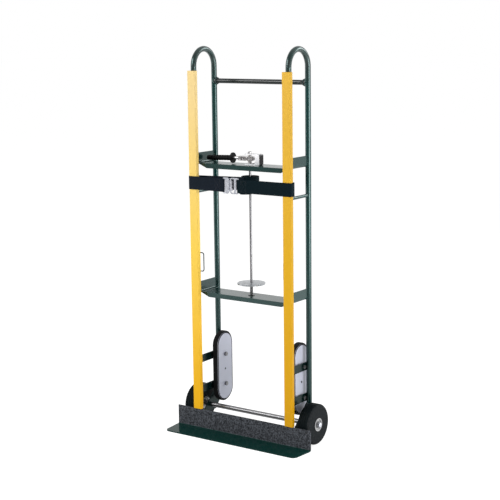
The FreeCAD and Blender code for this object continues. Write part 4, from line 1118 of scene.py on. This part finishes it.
def studio_world():
    """White backdrop to the camera, a dimmer room in mirrors towards the front, and plain ambient light."""
    world = bpy.data.worlds.new("studio")
    world.use_nodes = True
    bpy.context.scene.world = world
    sky = world.node_tree
    path = sky.nodes.new("ShaderNodeLightPath")
    glossy = path.outputs["Is Glossy Ray"]
    seen = math_node(sky, "MAXIMUM", path.outputs["Is Camera Ray"], path.outputs["Is Transmission Ray"])
    direction = split_axes(sky, sky.nodes.new("ShaderNodeTexCoord").outputs["Generated"])
    room = remap(sky, direction["Y"], *ROOM_TURN_Y, ROOM_FRONT, 1.0)
    white = math_node(sky, "MAXIMUM", seen, times(sky, glossy, room))
    unseen = math_node(sky, "SUBTRACT", 1.0, math_node(sky, "MAXIMUM", seen, glossy))
    strength = math_node(sky, "ADD", white, times(sky, unseen, AMBIENT))
    backdrop = sky.nodes["Background"]
    backdrop.inputs["Color"].default_value = (1.0, 1.0, 1.0, 1.0)
    sky.links.new(strength, backdrop.inputs["Strength"])


floor_corners = [(x * FLOOR_REACH, y * FLOOR_REACH, 0) for x, y in ((-1, -1), (1, -1), (1, 1), (-1, 1))]
floor = mesh_piece("studio_floor", floor_corners, [(0, 1, 2, 3)], floor_material())
studio_world()


def soft_light(name, place, target, width, height, power):
    """A soft studio lamp aimed at a point."""
    lamp = bpy.data.lights.new(name, "AREA")
    lamp.shape = "RECTANGLE"
    lamp.size = width
    lamp.size_y = height
    lamp.energy = power
    holder = add_object(name, lamp)
    holder.location = place
    holder.rotation_euler = (Vector(target) - Vector(place)).to_track_quat("-Z", "Y").to_euler()


soft_light("key_light", (-1.9, -3.0, 2.9), (0.0, 0.0, 0.9), 2.2, 1.8, 113.0)
soft_light("left_strip", (-3.2, -1.6, 0.9), (0.0, 0.0, 0.8), 1.0, 1.8, 18.0)
soft_light("fill_light", (3.3, -0.1, 0.75), (0.0, 0.0, 0.7), 2.2, 1.4, 86.0)
soft_light("rim_light", (2.0, 3.0, 2.4), (0.0, 0.0, 0.9), 1.2, 1.6, 40.0)


# Camera
def truck_camera():
    """The photograph's viewpoint."""
    yaw = math.radians(35.16)
    pitch = math.radians(10.1)
    roll = math.radians(-0.7)
    ahead = Vector((-math.sin(yaw) * math.cos(pitch), math.cos(yaw) * math.cos(pitch), -math.sin(pitch)))
    right = Vector((math.cos(yaw), math.sin(yaw), 0.0))
    above = right.cross(ahead)
    across = right * math.cos(roll) + above * math.sin(roll)
    upward = above * math.cos(roll) - right * math.sin(roll)
    lens = bpy.data.cameras.new("photo_camera")
    lens.sensor_width = 36.0
    lens.sensor_fit = "HORIZONTAL"
    lens.lens = 91.8
    lens.clip_end = 200.0
    camera = add_object("photo_camera", lens)
    turn = Matrix((across, upward, -ahead)).transposed()
    viewpoint = Vector((2.80966, FRONT_FACE_Y - 3.92059, 1.60965))
    camera.matrix_world = Matrix.Translation(viewpoint) @ turn.to_4x4()
    bpy.context.scene.camera = camera


truck_camera()
bpy.context.scene.view_settings.view_transform = "Standard"
